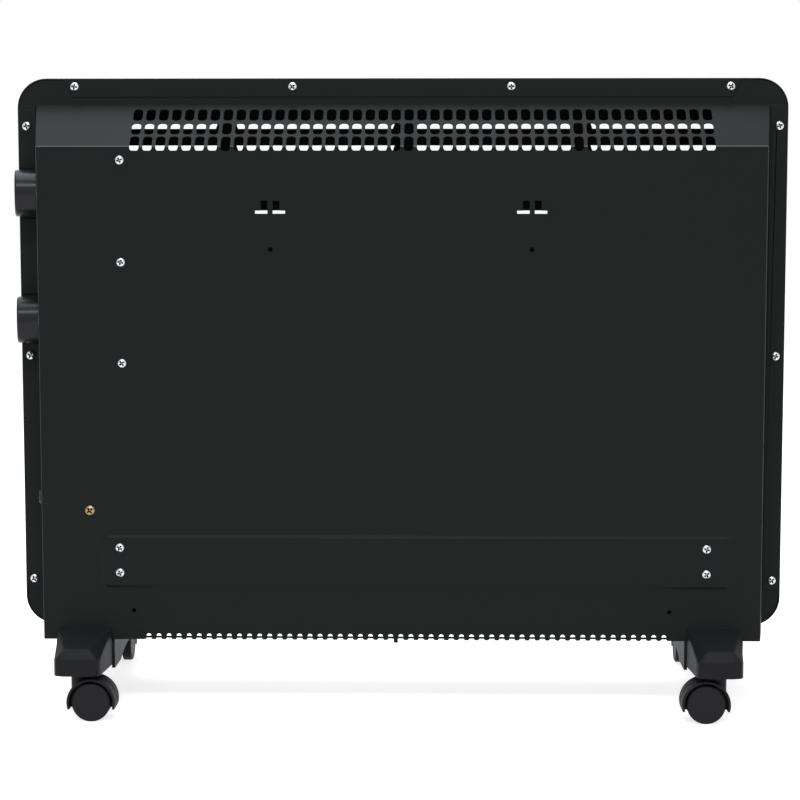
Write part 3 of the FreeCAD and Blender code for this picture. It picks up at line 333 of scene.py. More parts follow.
def mesh_object(bm: Shape, name: str, place: Optional[Matrix] = None) -> bpy.types.Object:
    """Turn a millimetre bmesh into a linked object in metres and free the bmesh.

    Args:
        bm: the shape, in millimetres.
        name: the object's name.
        place: where the shape goes, in millimetres.

    Returns:
        The object.
    """
    if place is not None:
        bmesh.ops.transform(bm, matrix=place, verts=bm.verts)
    bmesh.ops.scale(bm, vec=(MM, MM, MM), verts=bm.verts)
    mesh = bpy.data.meshes.new(name)
    bm.to_mesh(mesh)
    bm.free()
    obj = bpy.data.objects.new(name, mesh)
    bpy.context.scene.collection.objects.link(obj)
    return obj


def dress_piece(
    obj: bpy.types.Object,
    slot: Slot,
    body: str,
    nodes: Sequence[str],
    smooth: bool = True,
    finish: Optional[Finish] = None,
) -> None:
    """Give a piece its material, its body and the nodes that it stands for.

    Args:
        obj: the finished piece.
        slot: its material slot.
        body: the body that it moves with.
        nodes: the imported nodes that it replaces.
        smooth: whether gentle edges are shaded as one surface.
        finish: its finish, if not the slot's own.
    """
    obj.data.materials.clear()
    obj.data.materials.append(SHOP.get(finish or FINISHES[slot]))
    if smooth:
        obj.data.shade_smooth()
        obj.data.set_sharp_from_angle(angle=math.radians(SHARP_DEG))
        even = obj.modifiers.new("even_normals", "WEIGHTED_NORMAL")
        even.keep_sharp = True
    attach(obj, body)
    if nodes:
        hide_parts(*nodes)
    LOG.info("piece %s on %s: %d faces", obj.name, body, len(obj.data.polygons))


def carve(base: bpy.types.Object, tool: bpy.types.Object, way: Carve) -> None:
    """Combine a closed shape with another and delete the other.

    Args:
        base: the shape that is kept.
        tool: the shape that is added or taken away.
        way: add or take.
    """
    step = base.modifiers.new("carve", "BOOLEAN")
    step.object = tool
    step.operation = way.value
    step.solver = "EXACT"
    graph = bpy.context.evaluated_depsgraph_get()
    mesh = bpy.data.meshes.new_from_object(base.evaluated_get(graph))
    base.modifiers.clear()
    old, spent = base.data, tool.data
    base.data = mesh
    bpy.data.meshes.remove(old)
    bpy.data.objects.remove(tool)
    bpy.data.meshes.remove(spent)


def soften(bm: Shape, geom: Sequence, offset: float, steps: int, affect: str = "EDGES") -> None:
    """Round edges or corners of a shape.

    Args:
        bm: the shape.
        geom: its edges or corners to round.
        offset: how far the rounding reaches.
        steps: its segments.
        affect: EDGES or VERTICES.
    """
    bmesh.ops.bevel(
        bm, geom=geom, offset=offset, segments=steps, profile=0.5, affect=affect, material=-1
    )


def plate(width: float, height: float, corner: float, depth: float, steps: int = 4) -> Shape:
    """A rounded plate about the origin: width on X, height on Z, depth along +Y from Y = 0.

    Args:
        width: size on X.
        height: size on Z.
        corner: corner radius.
        depth: thickness.
        steps: segments of each corner.

    Returns:
        The plate.
    """
    bm = bmesh.new()
    half, rise = width / 2, height / 2
    corners = [(-half, -rise), (half, -rise), (half, rise), (-half, rise)]
    verts = [bm.verts.new((x, 0, z)) for x, z in corners]
    bm.faces.new(verts)
    if corner > 0:
        soften(bm, verts, corner, steps, "VERTICES")
    thicken(bm, (0, depth, 0))
    return bm


def thicken(bm: Shape, way: Sequence[float]) -> None:
    """Extrude every face of a flat bmesh along a vector into a closed solid.

    Args:
        bm: the flat shape.
        way: the extrusion.
    """
    made = bmesh.ops.extrude_face_region(bm, geom=list(bm.faces))["geom"]
    bmesh.ops.translate(bm, vec=way, verts=[v for v in made if isinstance(v, bmesh.types.BMVert)])
    bmesh.ops.recalc_face_normals(bm, faces=bm.faces)


def outline_solid(points: Iterable[Sequence[float]], way: Sequence[float]) -> Shape:
    """A closed solid from a flat outline.

    Args:
        points: the outline's corners.
        way: the extrusion.

    Returns:
        The solid.
    """
    bm = bmesh.new()
    bm.faces.new([bm.verts.new(p) for p in points])
    thicken(bm, way)
    return bm


def turned(profile: Sequence[Pair], axis: Vector, steps: int) -> Shape:
    """A full spin of a profile about an axis through the origin.

    Args:
        profile: (distance along the axis, radius) pairs; ends on the axis close the shape.
        axis: the axis.
        steps: segments of the turn.

    Returns:
        The turned solid.
    """
    side = axis.orthogonal().normalized()
    bm = bmesh.new()
    verts = [bm.verts.new(axis * d + side * r) for d, r in profile]
    edges = [bm.edges.new(pair) for pair in zip(verts, verts[1:])]
    bmesh.ops.spin(
        bm, geom=verts + edges, cent=(0, 0, 0), axis=axis, angle=FULL_TURN, steps=steps, use_merge=True
    )
    bmesh.ops.remove_doubles(bm, verts=bm.verts, dist=1e-4)
    bmesh.ops.recalc_face_normals(bm, faces=bm.faces)
    return bm


def bar(radius: float, low: Vector, high: Vector, steps: int = 24) -> Shape:
    """A round bar between two points.

    Args:
        radius: its radius.
        low: one end.
        high: the other end.
        steps: its sides.

    Returns:
        The bar.
    """
    bm = bmesh.new()
    way = high - low
    turn = way.to_track_quat("Z", "Y").to_matrix().to_4x4()
    bmesh.ops.create_cone(
        bm,
        cap_ends=True,
        segments=steps,
        radius1=radius,
        radius2=radius,
        depth=way.length,
        matrix=Matrix.Translation((low + high) / 2) @ turn,
    )
    return bm


def block(low: Sequence[float], high: Sequence[float]) -> Shape:
    """A box between two corners.

    Args:
        low: the lowest corner.
        high: the highest corner.

    Returns:
        The box.
    """
    bm = bmesh.new()
    size = Vector(high) - Vector(low)
    middle = (Vector(high) + Vector(low)) / 2
    bmesh.ops.create_cube(bm, size=1.0, matrix=Matrix.Translation(middle) @ Matrix.Diagonal(size.to_4d()))
    return bm


def join(target: Shape, source: Shape, place: Matrix = Matrix.Identity(4)) -> None:
    """Copy one bmesh into another at a place and free the first."""
    stamp(target, source, place)
    source.free()


def stamp(target: Shape, source: Shape, place: Matrix) -> None:
    """Copy one bmesh into another at a place and keep the first.

    Args:
        target: takes the copy.
        source: what is copied.
        place: where the copy goes.
    """
    carrier = bpy.data.meshes.new("carrier")
    source.to_mesh(carrier)
    carrier.transform(place)
    target.from_mesh(carrier)
    bpy.data.meshes.remove(carrier)


def merged_copy(node: str) -> Shape:
    """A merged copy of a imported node, in millimetres, with its flat faces joined.

    Args:
        node: the node's name.

    Returns:
        The copy.
    """
    bm = bmesh.new()
    bm.from_mesh(frame["nodes"][node].data)
    bmesh.ops.scale(bm, vec=(1 / MM, 1 / MM, 1 / MM), verts=bm.verts)
    bmesh.ops.remove_doubles(bm, verts=bm.verts, dist=1e-3)
    bmesh.ops.dissolve_limit(
        bm, angle_limit=math.radians(0.5), use_dissolve_boundaries=False, verts=bm.verts, edges=bm.edges
    )
    return bm


def solid_boxes(node: str) -> List[Tuple[Vector, Vector]]:
    """Corners of the box round each separate solid of a node, in millimetres.

    Args:
        node: the node's name.

    Returns:
        (lowest, highest) corners, one pair for each solid.
    """
    bm = merged_copy(node)
    left = set(bm.verts)
    boxes = []
    while left:
        todo = [left.pop()]
        island = []
        while todo:
            vert = todo.pop()
            island.append(vert.co.copy())
            near = {e.other_vert(vert) for e in vert.link_edges} & left
            left -= near
            todo.extend(near)
        low = Vector(min(p[i] for p in island) for i in range(3))
        high = Vector(max(p[i] for p in island) for i in range(3))
        boxes.append((low, high))
    bm.free()
    return sorted(boxes, key=lambda box: [round(c, 1) for c in box[0]])


@dataclass
class RearShell:
    """The pressed rear housing: bends, vents, notches, hook slots and the raised band, in millimetres."""

    # Pan: half width and depth of the back, the walls' flare, the flange's depth and the lower edge.
    half_back: float = 300.5
    back_y: float = 85.0
    flare: float = 6.1 / 36.0
    flange_y: float = 49.0
    base_z: float = 60.4
    # Shoulder: its fold, its rise for each millimetre of depth, the fold's flat, and the width and strength of the
    # highlight painted along its upper edge.
    fold_z: float = 472.1
    slope: float = 0.947
    fold_flat: float = 0.5
    top_edge: float = 0.7
    top_edge_highlight: float = 0.35
    # The casing's outline, which holds the flange.
    case_z: float = 66.5
    top_z: float = 529.1
    half_panel: float = 322.0
    panel_corner: float = 24.5
    # The sheet, its play inside the casing, its bends, and the bottom lip with its tab.
    sheet: float = 1.0
    fit: float = 0.3
    bend: float = 0.7
    least_bend: float = 0.3
    lip: float = 10.5
    tab_half: float = 1.7
    tab_drop: float = 2.2
    # Vents: width, length and corner; the pattern; place and length of the row across the fold.
    vent_size: Triple = (7.8, 14.0, 3.1)
    vent_columns: int = 45
    vent_rows: int = 3
    vent_pitch: float = 10.75
    vent_row_pitch: float = 17.0
    vent_first: float = 4.35
    vent_middle: float = -17.0
    fold_vent: Pair = (3.5, 14.6)
    vent_bite: float = 0.75
    # Notches: width, height and depth; their top corners; height, half width and start of the flare.
    inlet_count: int = 52
    inlet_pitch: float = 8.47
    inlet_middle: float = -4.0
    inlet_size: Triple = (4.0, 5.2, 7.0)
    inlet_corner: float = 1.9
    inlet_flare: Triple = (1.4, 3.06, 0.2)
    # Raised band.
    band_x: Pair = (-279.0, 251.5)
    band_z: Pair = (104.5, 149.3)
    band_corner: float = 8.4
    band_rise: float = 1.6
    band_slope: float = 2.4
    band_round: float = 1.0
    # Hook slots: place of a pair, half its gap, length and height of the slot and of its stem.
    hook_x: float = 107.8
    hook_z: float = 416.9
    hook_inner: float = 2.1
    hook_slot: Pair = (10.3, 2.5)
    hook_stem: Pair = (5.7, 10.6)
    through: float = 4.0
    # Holes of the back: height and radius below the hooks; place and radius near the bottom.
    wall_hole: Pair = (387.4, 2.1)
    lower_hole: Triple = (224.3, 85.0, 1.9)
    # Control wall: places, bores, and the room round a knob as radius, start and end.
    control_y: float = 65.0
    control_z: Pair = (433.7, 328.3)
    control_hole: float = 4.75
    gland_z: float = 178.3
    gland_hole: float = 5.05
    knob_room: Triple = (20.7, 0.5, 19.3)

    def half_width(self, y: float, inset: float) -> float:
        """Half the pan's width at a depth, some distance inside the outer surface."""
        return self.half_back + (self.back_y - y) * self.flare - inset * math.hypot(1, self.flare)

    def wall_frame(self, z: float) -> Matrix:
        """The frame on the outside of the flared wall at a height: its X axis points out of the wall.

        Args:
            z: the height.

        Returns:
            The frame.
        """
        x = self.half_width(self.control_y, 0)
        turn = Matrix.Rotation(math.atan(self.flare), 4, "Z")
        return Matrix.Translation((x, self.control_y, z)) @ turn

    def pan(self, inset: float, mouth: float) -> Shape:
        """The pan's block inset by a distance, with its folds rounded.

        Args:
            inset: distance inside the outer surface.
            mouth: depth of its open side.

        Returns:
            The block.
        """
        rear = self.back_y - inset
        low = self.base_z + inset
        lean = math.hypot(1, self.slope)
        fold = self.fold_z + inset * (self.slope - lean)
        top = self.fold_z + (self.back_y - mouth) * self.slope - inset * lean
        side = [(-1, mouth, low), (-1, rear, low), (-1, rear, fold), (-1, mouth, top)]
        bm = outline_solid(side, (2, 0, 0))
        for vert in bm.verts:
            vert.co.x *= self.half_width(vert.co.y, inset)
        behind = [e for e in bm.edges if max(v.co.y for v in e.verts) > rear - NEAR]
        rising = [e for e in behind if abs(e.verts[0].co.z - e.verts[1].co.z) > NEAR]
        level = [e for e in behind if min(v.co.y for v in e.verts) > rear - NEAR]
        lowest = [e for e in level if max(v.co.z for v in e.verts) < low + NEAR]
        soften(bm, rising + lowest, max(self.bend - inset, self.least_bend), 3)
        across = [e for e in bm.edges if e.calc_length() > self.half_back]
        across = [e for e in across if all(abs(v.co.z - fold) < self.bend for v in e.verts)]
        across = [e for e in across if all(v.co.y > rear - self.bend for v in e.verts)]
        soften(bm, across, self.fold_flat, 1)
        # Cut the shoulder at its upper edge, so that a highlight can be painted on the narrow strip above the cut.
        everything = list(bm.verts) + list(bm.edges) + list(bm.faces)
        edge_place = (0, self.flange_y + self.top_edge, 0)
        bmesh.ops.bisect_plane(bm, geom=everything, plane_co=edge_place, plane_no=(0, 1, 0))
        bmesh.ops.recalc_face_normals(bm, faces=bm.faces)
        return bm

    def mark_painted_highlight(self, shell: bpy.types.Object) -> None:
        """Mark the narrow flats of the outer folds and the shoulder's upper edge, where a highlight is painted on
        the coat.

        Args:
            shell: the finished housing.
        """
        mark = shell.data.attributes.new(FOLD_HIGHLIGHT_MARK, "FLOAT", "FACE")
        # A flat's normal lies between those of the two sheets that meet at its fold.
        for face in shell.data.polygons:
            x, y, z = (c / MM for c in face.center)
            rear, up = face.normal.y, face.normal.z
            across = abs(z - self.fold_z) < 2 and 0.2 < up < 0.6 and rear > 0.7
            upright = abs(x) > self.half_back - 2 and 0.55 < rear < 0.9 and abs(up) < 0.1
            edge = z > self.fold_z and up > 0.5 and self.flange_y < y < self.flange_y + self.top_edge
            # The folds take the full painted highlight, and the upper edge a weaker one.
            mark.data[face.index].value = self.top_edge_highlight if edge else float(across or upright)

    def panel(self, inset: float, low_y: float, high_y: float) -> Shape:
        """The casing's rounded outline, inset, between two depths.

        Args:
            inset: distance inside the casing's outline.
            low_y: the lower depth.
            high_y: the higher depth.

        Returns:
            The plate.
        """
        width = 2 * (self.half_panel - inset)
        height = self.top_z - self.case_z - 2 * inset
        bm = plate(width, height, self.panel_corner - inset, high_y - low_y, 10)
        bmesh.ops.translate(bm, vec=(0, low_y, (self.top_z + self.case_z) / 2), verts=bm.verts)
        return bm

    def raised_band(self, shift: float) -> Shape:
        """The raised band's block with sloped, softened sides.

        Args:
            shift: how far it is moved along Y.

        Returns:
            The block.
        """
        left, right = self.band_x
        low, high = self.band_z
        bm = plate(right - left, high - low, self.band_corner, self.sheet / 2, 6)
        top = max(bm.faces, key=lambda f: f.calc_center_median().y)
        bmesh.ops.inset_region(
            bm, faces=[top], thickness=self.band_slope, depth=self.band_rise, use_even_offset=True
        )
        soften(bm, list(top.edges), self.band_round, 3)
        place = ((left + right) / 2, self.back_y - self.sheet / 2 + shift, (low + high) / 2)
        bmesh.ops.translate(bm, vec=place, verts=bm.verts)
        bmesh.ops.recalc_face_normals(bm, faces=bm.faces)
        return bm

    def vents(self, cutters: Shape) -> None:
        """Add the rounded vents of the shoulder; the lowest row runs across the fold.

        Args:
            cutters: takes the cutting shapes.
        """
        width, length, corner = self.vent_size
        shoulder = math.atan2(1, self.slope)
        for row in range(self.vent_rows):
            tilt, place, size = shoulder, self.vent_first + row * self.vent_row_pitch, length
            if row == 0:
                tilt, (place, size) = shoulder / 2, self.fold_vent
            reach = self.vent_bite * size
            one = plate(width, size, corner, 2 * reach, 4)
            turn = Matrix.Rotation(tilt, 4, "X")
            along = turn @ Vector((0, 0, 1))
            normal = turn @ Vector((0, 1, 0))
            middle = Vector((0, self.back_y, self.fold_z)) - normal * reach + along * place
            for column in range(self.vent_columns):
                x = self.vent_middle + (column - (self.vent_columns - 1) / 2) * self.vent_pitch
                stamp(cutters, one, Matrix.Translation(middle + Vector((x, 0, 0))) @ turn)
            one.free()

    def inlets(self, cutters: Shape) -> None:
        """Add the round-topped notches across the bottom fold.

        Args:
            cutters: takes the cutting shapes.
        """
        width, height, depth = self.inlet_size
        knee, spread, under = self.inlet_flare
        half = width / 2
        outline = [(-spread, -under), (spread, -under), (half, knee)]
        outline += [(half, height), (-half, height), (-half, knee)]
        one = bmesh.new()
        verts = [one.verts.new((x, 0, z)) for x, z in outline]
        one.faces.new(verts)
        tops = [v for v in verts if v.co.z > knee + 1]
        soften(one, tops, self.inlet_corner, 4, "VERTICES")
        thicken(one, (0, depth + self.sheet, 0))
        for index in range(self.inlet_count):
            x = self.inlet_middle + (index - (self.inlet_count - 1) / 2) * self.inlet_pitch
            stamp(cutters, one, Matrix.Translation((x, self.back_y - depth, self.base_z)))
        one.free()

    def hooks(self, cutters: Shape) -> None:
        """Add the mirrored pairs of L-shaped slots.

        Args:
            cutters: takes the cutting shapes.
        """
        (reach, slot), (stem, rise) = self.hook_slot, self.hook_stem
        outline = [(0, 0), (reach, 0), (reach, slot), (stem, slot), (stem, rise), (0, rise)]
        front = self.back_y - self.through
        for pair in (-1, 1):
            for side in (-1, 1):
                x = pair * self.hook_x + side * self.hook_inner
                corners = [(x + side * a, front, self.hook_z + b) for a, b in outline]
                join(cutters, outline_solid(corners, (0, 2 * self.through, 0)))

    def holes(self, cutters: Shape) -> None:
        """Add the round holes of the back and of the control wall, and the room round the knobs.

        Args:
            cutters: takes the cutting shapes.
        """
        back = Vector((0, self.through, 0))
        for side in (-1, 1):
            for x, z, radius in ((self.hook_x, *self.wall_hole), self.lower_hole):
                middle = Vector((side * x, self.back_y, z))
                join(cutters, bar(radius, middle - back, middle + back))
        low, high = Vector((-3 * self.sheet, 0, 0)), Vector((self.fit, 0, 0))
        bores = [(z, self.control_hole) for z in self.control_z] + [(self.gland_z, self.gland_hole)]
        for z, radius in bores:
            join(cutters, bar(radius, low, high), self.wall_frame(z))
        radius, start, end = self.knob_room
        for z in self.control_z:
            join(cutters, bar(radius, Vector((start, 0, 0)), Vector((end, 0, 0)), 48), self.wall_frame(z))

    def build(self) -> None:
        """Make the housing and put it in place of its node."""
        mouth = self.flange_y - 2 * self.sheet
        clear = self.flange_y + self.fit
        inset = self.sheet + self.fit
        wide, tall = 1.5 * self.half_panel, 1.5 * self.top_z
        around = mesh_object(block((-wide, mouth - self.sheet, 0), (wide, clear, tall)), "around")
        inside = self.panel(inset, mouth - 2 * self.sheet, clear + self.sheet)
        carve(around, mesh_object(inside, "inside"), Carve.TAKE)
        half = self.half_back - 1.5 * self.sheet
        low, high = self.base_z - 2 * self.sheet, self.base_z + 2 * self.sheet
        under = block((-half, mouth - 2 * self.sheet, low), (half, self.back_y - self.lip, high))
        tab_x = self.inlet_middle + self.inlet_pitch
        tab_y = self.back_y - self.sheet - self.bend
        tab_low = (tab_x - self.tab_half, tab_y, self.base_z - self.tab_drop)
        tab_high = (tab_x + self.tab_half, tab_y + self.sheet, self.base_z + self.sheet / 2)
        cutters = bmesh.new()
        for add in (self.vents, self.inlets, self.hooks, self.holes):
            add(cutters)
        shell = mesh_object(self.pan(0, mouth), "rear_shell")
        for tool, way in (
            (mesh_object(self.panel(inset, mouth, mouth + self.sheet), "flange"), Carve.ADD),
            (mesh_object(self.raised_band(0), "band"), Carve.ADD),
            (mesh_object(self.pan(self.sheet, mouth - self.sheet), "hollow"), Carve.TAKE),
            (mesh_object(self.raised_band(-self.sheet), "pocket"), Carve.TAKE),
            (around, Carve.TAKE),
            (mesh_object(under, "under"), Carve.TAKE),
            (mesh_object(block(tab_low, tab_high), "tab"), Carve.ADD),
            (mesh_object(cutters, "cutters"), Carve.TAKE),
        ):
            carve(shell, tool, way)
        self.mark_painted_highlight(shell)
        dress_piece(shell, Slot.POWDER, "heater", ["rear_housing"], finish=HIGHLIT_PRESSED_COAT)


@dataclass
class PanScrew:
    """A pan-head screw with a cross recess, in millimetres."""

    head_radius: float = 3.8
    head_height: float = 2.3
    shank_radius: float = 1.8
    length: float = 9.0
    recess_width: float = 1.6
    recess_reach: float = 2.6
    recess_depth: float = 1.9
    recess_taper: float = 0.85

    def template(self) -> Shape:
        """One screw about the origin, head along +Y.

        Returns:
            The screw.
        """
        height = self.head_height
        # Shares of the head's height and radius, from the crown's middle to its underside.
        crown = [(1, 0), (0.97, 0.45), (0.84, 0.72), (0.55, 0.92), (0.25, 1), (0, 0.97)]
        profile = [(rise * height, share * self.head_radius) for rise, share in crown]
        profile += [(0, self.shank_radius), (-self.length, self.shank_radius), (-self.length, 0)]
        head = mesh_object(turned(profile, Vector((0, 1, 0)), 28), "screw")
        for turn in (0.0, 90.0):
            half = self.recess_width / 2
            reach, floor = self.recess_reach, height - self.recess_depth
            arm = block((-reach, floor, -half), (reach, height + 1, half))
            spin = Matrix.Rotation(math.radians(turn), 3, "Y")
            bmesh.ops.rotate(arm, cent=(0, 0, 0), matrix=spin, verts=arm.verts)
            deep = [v for v in arm.verts if v.co.y < height]
            bmesh.ops.scale(arm, vec=(self.recess_taper, 1, self.recess_taper), verts=deep)
            carve(head, mesh_object(arm, "arm"), Carve.TAKE)
        bm = bmesh.new()
        bm.from_mesh(head.data)
        bmesh.ops.scale(bm, vec=(1 / MM, 1 / MM, 1 / MM), verts=bm.verts)
        spent = head.data
        bpy.data.objects.remove(head)
        bpy.data.meshes.remove(spent)
        return bm


@dataclass
class Fasteners:
    """All the visible screws, each at its solid's place."""

    turn_step_deg: float = 37.0

    def group(self, node: str, slot: Slot, screw: PanScrew, up: Matrix) -> None:
        """Put a screw on every solid of a node.

        Args:
            node: the node that holds the screws.
            slot: their material slot.
            screw: the screw's sizes.
            up: turns the screw's +Y to the way that the heads face.
        """
        one = screw.template()
        bm = bmesh.new()
        face = up @ Vector((0, 1, 0))
        for index, (low, high) in enumerate(solid_boxes(node)):
            middle = (low + high) / 2
            end = max(low.dot(face), high.dot(face))
            seat = middle + face * (end - screw.head_height - middle.dot(face))
            spin = Matrix.Rotation(math.radians(self.turn_step_deg * (index + 1)), 4, "Y")
            stamp(bm, one, Matrix.Translation(seat) @ up @ spin)
        one.free()
        dress_piece(mesh_object(bm, node + "_round"), slot, "heater", [node])

    def build(self) -> None:
        """Make every group of screws."""
        back = Matrix.Identity(4)
        for node in ("casing_screws", "partition_screws", "element_screws"):
            self.group(node, Slot.ZINC, PanScrew(), back)
        down = Matrix.Rotation(-math.pi / 2, 4, "X")
        self.group("foot_screws", Slot.ZINC, PanScrew(length=10.0), down)
        large = PanScrew(
            head_radius=4.37,
            head_height=2.645,
            shank_radius=2.07,
            recess_width=1.7,
            recess_reach=2.9,
            recess_depth=2.1,
        )
        self.group("earth_screw", Slot.BRASS, large, back)


@dataclass
class Knob:
    """A control knob: turned barrel, hollow back, grip bar and an index line, in millimetres."""

    radius: float = 19.5
    length: float = 16.8
    gap: float = 1.0
    skirt: float = 0.35
    rim: float = 1.8
    wall: float = 2.2
    hollow: float = 8.0
    dish: float = 1.5
    grip_width: float = 7.0
    grip_round: float = 0.8
    grip_drop: float = 0.05
    grip_overlap: float = 0.4
    grip_sink: float = 0.5
    index_width: float = 1.2
    index_depth: float = 0.3
    index_start: float = 0.35

    def barrel(self) -> Shape:
        """The turned body, along +X from the wall.

        Returns:
            The body.
        """
        end = self.gap + self.length
        hollow = self.gap + self.hollow
        inner = self.radius - 2 * self.wall
        profile = [(hollow, 0), (hollow, self.radius - self.wall), (self.skirt, self.radius - self.wall)]
        profile += [(self.skirt, self.radius), (end, self.radius), (end, inner), (end - self.dish, inner)]
        profile += [(end - self.dish, 0)]
        bm = turned(profile, Vector((1, 0, 0)), 64)
        ends = [e for e in bm.edges if min(v.co.x for v in e.verts) > end - NEAR]
        outer = [e for e in ends if min(v.co.yz.length for v in e.verts) > self.radius - NEAR]
        soften(bm, outer, self.rim, 4)
        return bm

    def grip(self) -> Shape:
        """The grip bar across the dish.

        Returns:
            The bar.
        """
        end = self.gap + self.length
        reach = self.radius - 2 * self.wall + self.grip_overlap
        half = self.grip_width / 2
        top = end - self.grip_drop
        bm = block((end - self.dish - self.grip_sink, -reach, -half), (top, reach, half))
        soften(bm, [e for e in bm.edges if all(v.co.x > top - NEAR for v in e.verts)], self.grip_round, 3)
        return bm

    def build(self, name: str, body: str, place: Matrix) -> None:
        """Make the knob and its index line at a place on the wall.

        Args:
            name: the node that it replaces.
            body: the body that it turns with.
            place: the frame on the wall.
        """
        bm = self.barrel()
        join(bm, self.grip())
        dress_piece(mesh_object(bm, name + "_round", place), Slot.KNOB, body, [name])
        end = self.gap + self.length
        reach = self.radius - 2 * self.wall
        half = self.index_width / 2
        line = block((end - self.index_depth, -reach, -half), (end, -self.index_start * reach, half))
        dress_piece(mesh_object(line, name + "_index", place), Slot.CERAMIC, body, [], smooth=False)


@dataclass
class Castor:
    """A twin-wheel castor: grooved hood, axle web, neck, stem and two wheels, in millimetres."""

    wheel_radius: float = 16.0
    trail: float = 10.5
    hood_radius: float = 20.0
    hood_wall: float = 1.9
    hood_half: float = 12.0
    hood_drop: float = 5.6
    web: float = 5.0
    neck_radius: float = 7.0
    stem_radius: float = 4.0
    stem_top: float = 56.2
    neck_low: float = 24.0
    neck_top: float = 39.2
    stem_low: float = 30.0
    groove: float = 0.9
    edge: float = 0.5
    wheel_gap: float = 0.5
    wheel_reach: float = 9.0

    def hub(self) -> Vector:
        """The middle of the axle, in the castor's frame."""
        return Vector((self.trail, 0, self.wheel_radius))

    def hood(self) -> Shape:
        """The hood with a groove round its middle, its web, neck and stem.

        Returns:
            The swivelling body.
        """
        outer, half, groove = self.hood_radius, self.hood_half, self.groove
        inner, edge = outer - self.hood_wall, self.edge
        section = [(-half, inner), (-half, outer - edge), (edge - half, outer), (-groove, outer)]
        section += [(-groove / 2, outer - groove), (groove / 2, outer - groove), (groove, outer)]
        section += [(half - edge, outer), (half, outer - edge), (half, inner)]
        dip = math.asin(self.hood_drop / outer)
        start = Vector((math.cos(-dip), 0, math.sin(-dip)))
        bm = bmesh.new()
        verts = [bm.verts.new(start * r + Vector((0, t, 0))) for t, r in section]
        face = bm.faces.new(verts)
        bmesh.ops.spin(
            bm,
            geom=list(face.verts) + list(face.edges) + [face],
            cent=(0, 0, 0),
            axis=(0, -1, 0),
            angle=math.pi + 2 * dip,
            steps=40,
            use_merge=False,
        )
        bmesh.ops.recalc_face_normals(bm, faces=bm.faces)
        bmesh.ops.translate(bm, vec=self.hub(), verts=bm.verts)
        web = bar(inner + 0.5, Vector((0, -self.web / 2, 0)), Vector((0, self.web / 2, 0)), 40)
        cut = bmesh.ops.bisect_plane(
            web,
            geom=list(web.verts) + list(web.edges) + list(web.faces),
            plane_co=(0, 0, -self.hood_drop),
            plane_no=(0, 0, -1),
            clear_outer=True,
        )["geom_cut"]
        bmesh.ops.contextual_create(web, geom=[e for e in cut if isinstance(e, bmesh.types.BMEdge)])
        join(bm, web, Matrix.Translation(self.hub()))
        join(bm, bar(self.neck_radius, Vector((0, 0, self.neck_low)), Vector((0, 0, self.neck_top)), 32))
        join(bm, bar(self.stem_radius, Vector((0, 0, self.stem_low)), Vector((0, 0, self.stem_top)), 32))
        return bm

    def wheel(self, side: int) -> Shape:
        """One wheel with a rounded tread and a shallow dish in its outer face.

        Args:
            side: -1 or 1, the side of the web.

        Returns:
            The wheel.
        """
        rim = self.wheel_radius
        near, far = self.web / 2 + self.wheel_gap, self.web / 2 + self.wheel_reach
        # Inner face, tread with its rounded outer shoulder, then the dish down to the hub.
        profile = [(near, 0), (near, rim - 0.6), (near + 0.6, rim), (far - 1.8, rim)]
        profile += [(far - 0.9, rim - 0.35), (far - 0.3, rim - 1.0), (far, rim - 1.9)]
        profile += [(far - 0.15, 0.6 * rim), (far - 0.3, 3.6), (far - 0.3, 0)]
        bm = turned([(side * along, radius) for along, radius in profile], Vector((0, 1, 0)), 64)
        bmesh.ops.translate(bm, vec=self.hub(), verts=bm.verts)
        return bm

    def build(self, tag: str, place: Matrix) -> None:
        """Make one castor's pieces.

        Args:
            tag: its end and side, as in the node names.
            place: its frame on the floor below the stem.
        """
        node = "castor_%s_hood" % tag
        hood = mesh_object(self.hood(), node + "_round", place)
        dress_piece(hood, Slot.CASTOR, "castor_" + tag, [node])
        for side, word in ((-1, "inner"), (1, "outer")):
            node = "castor_%s_wheel_%s" % (tag, word)
            wheel = mesh_object(self.wheel(side), node + "_round", place)
            dress_piece(wheel, Slot.WHEEL, "wheels_" + tag, [node])


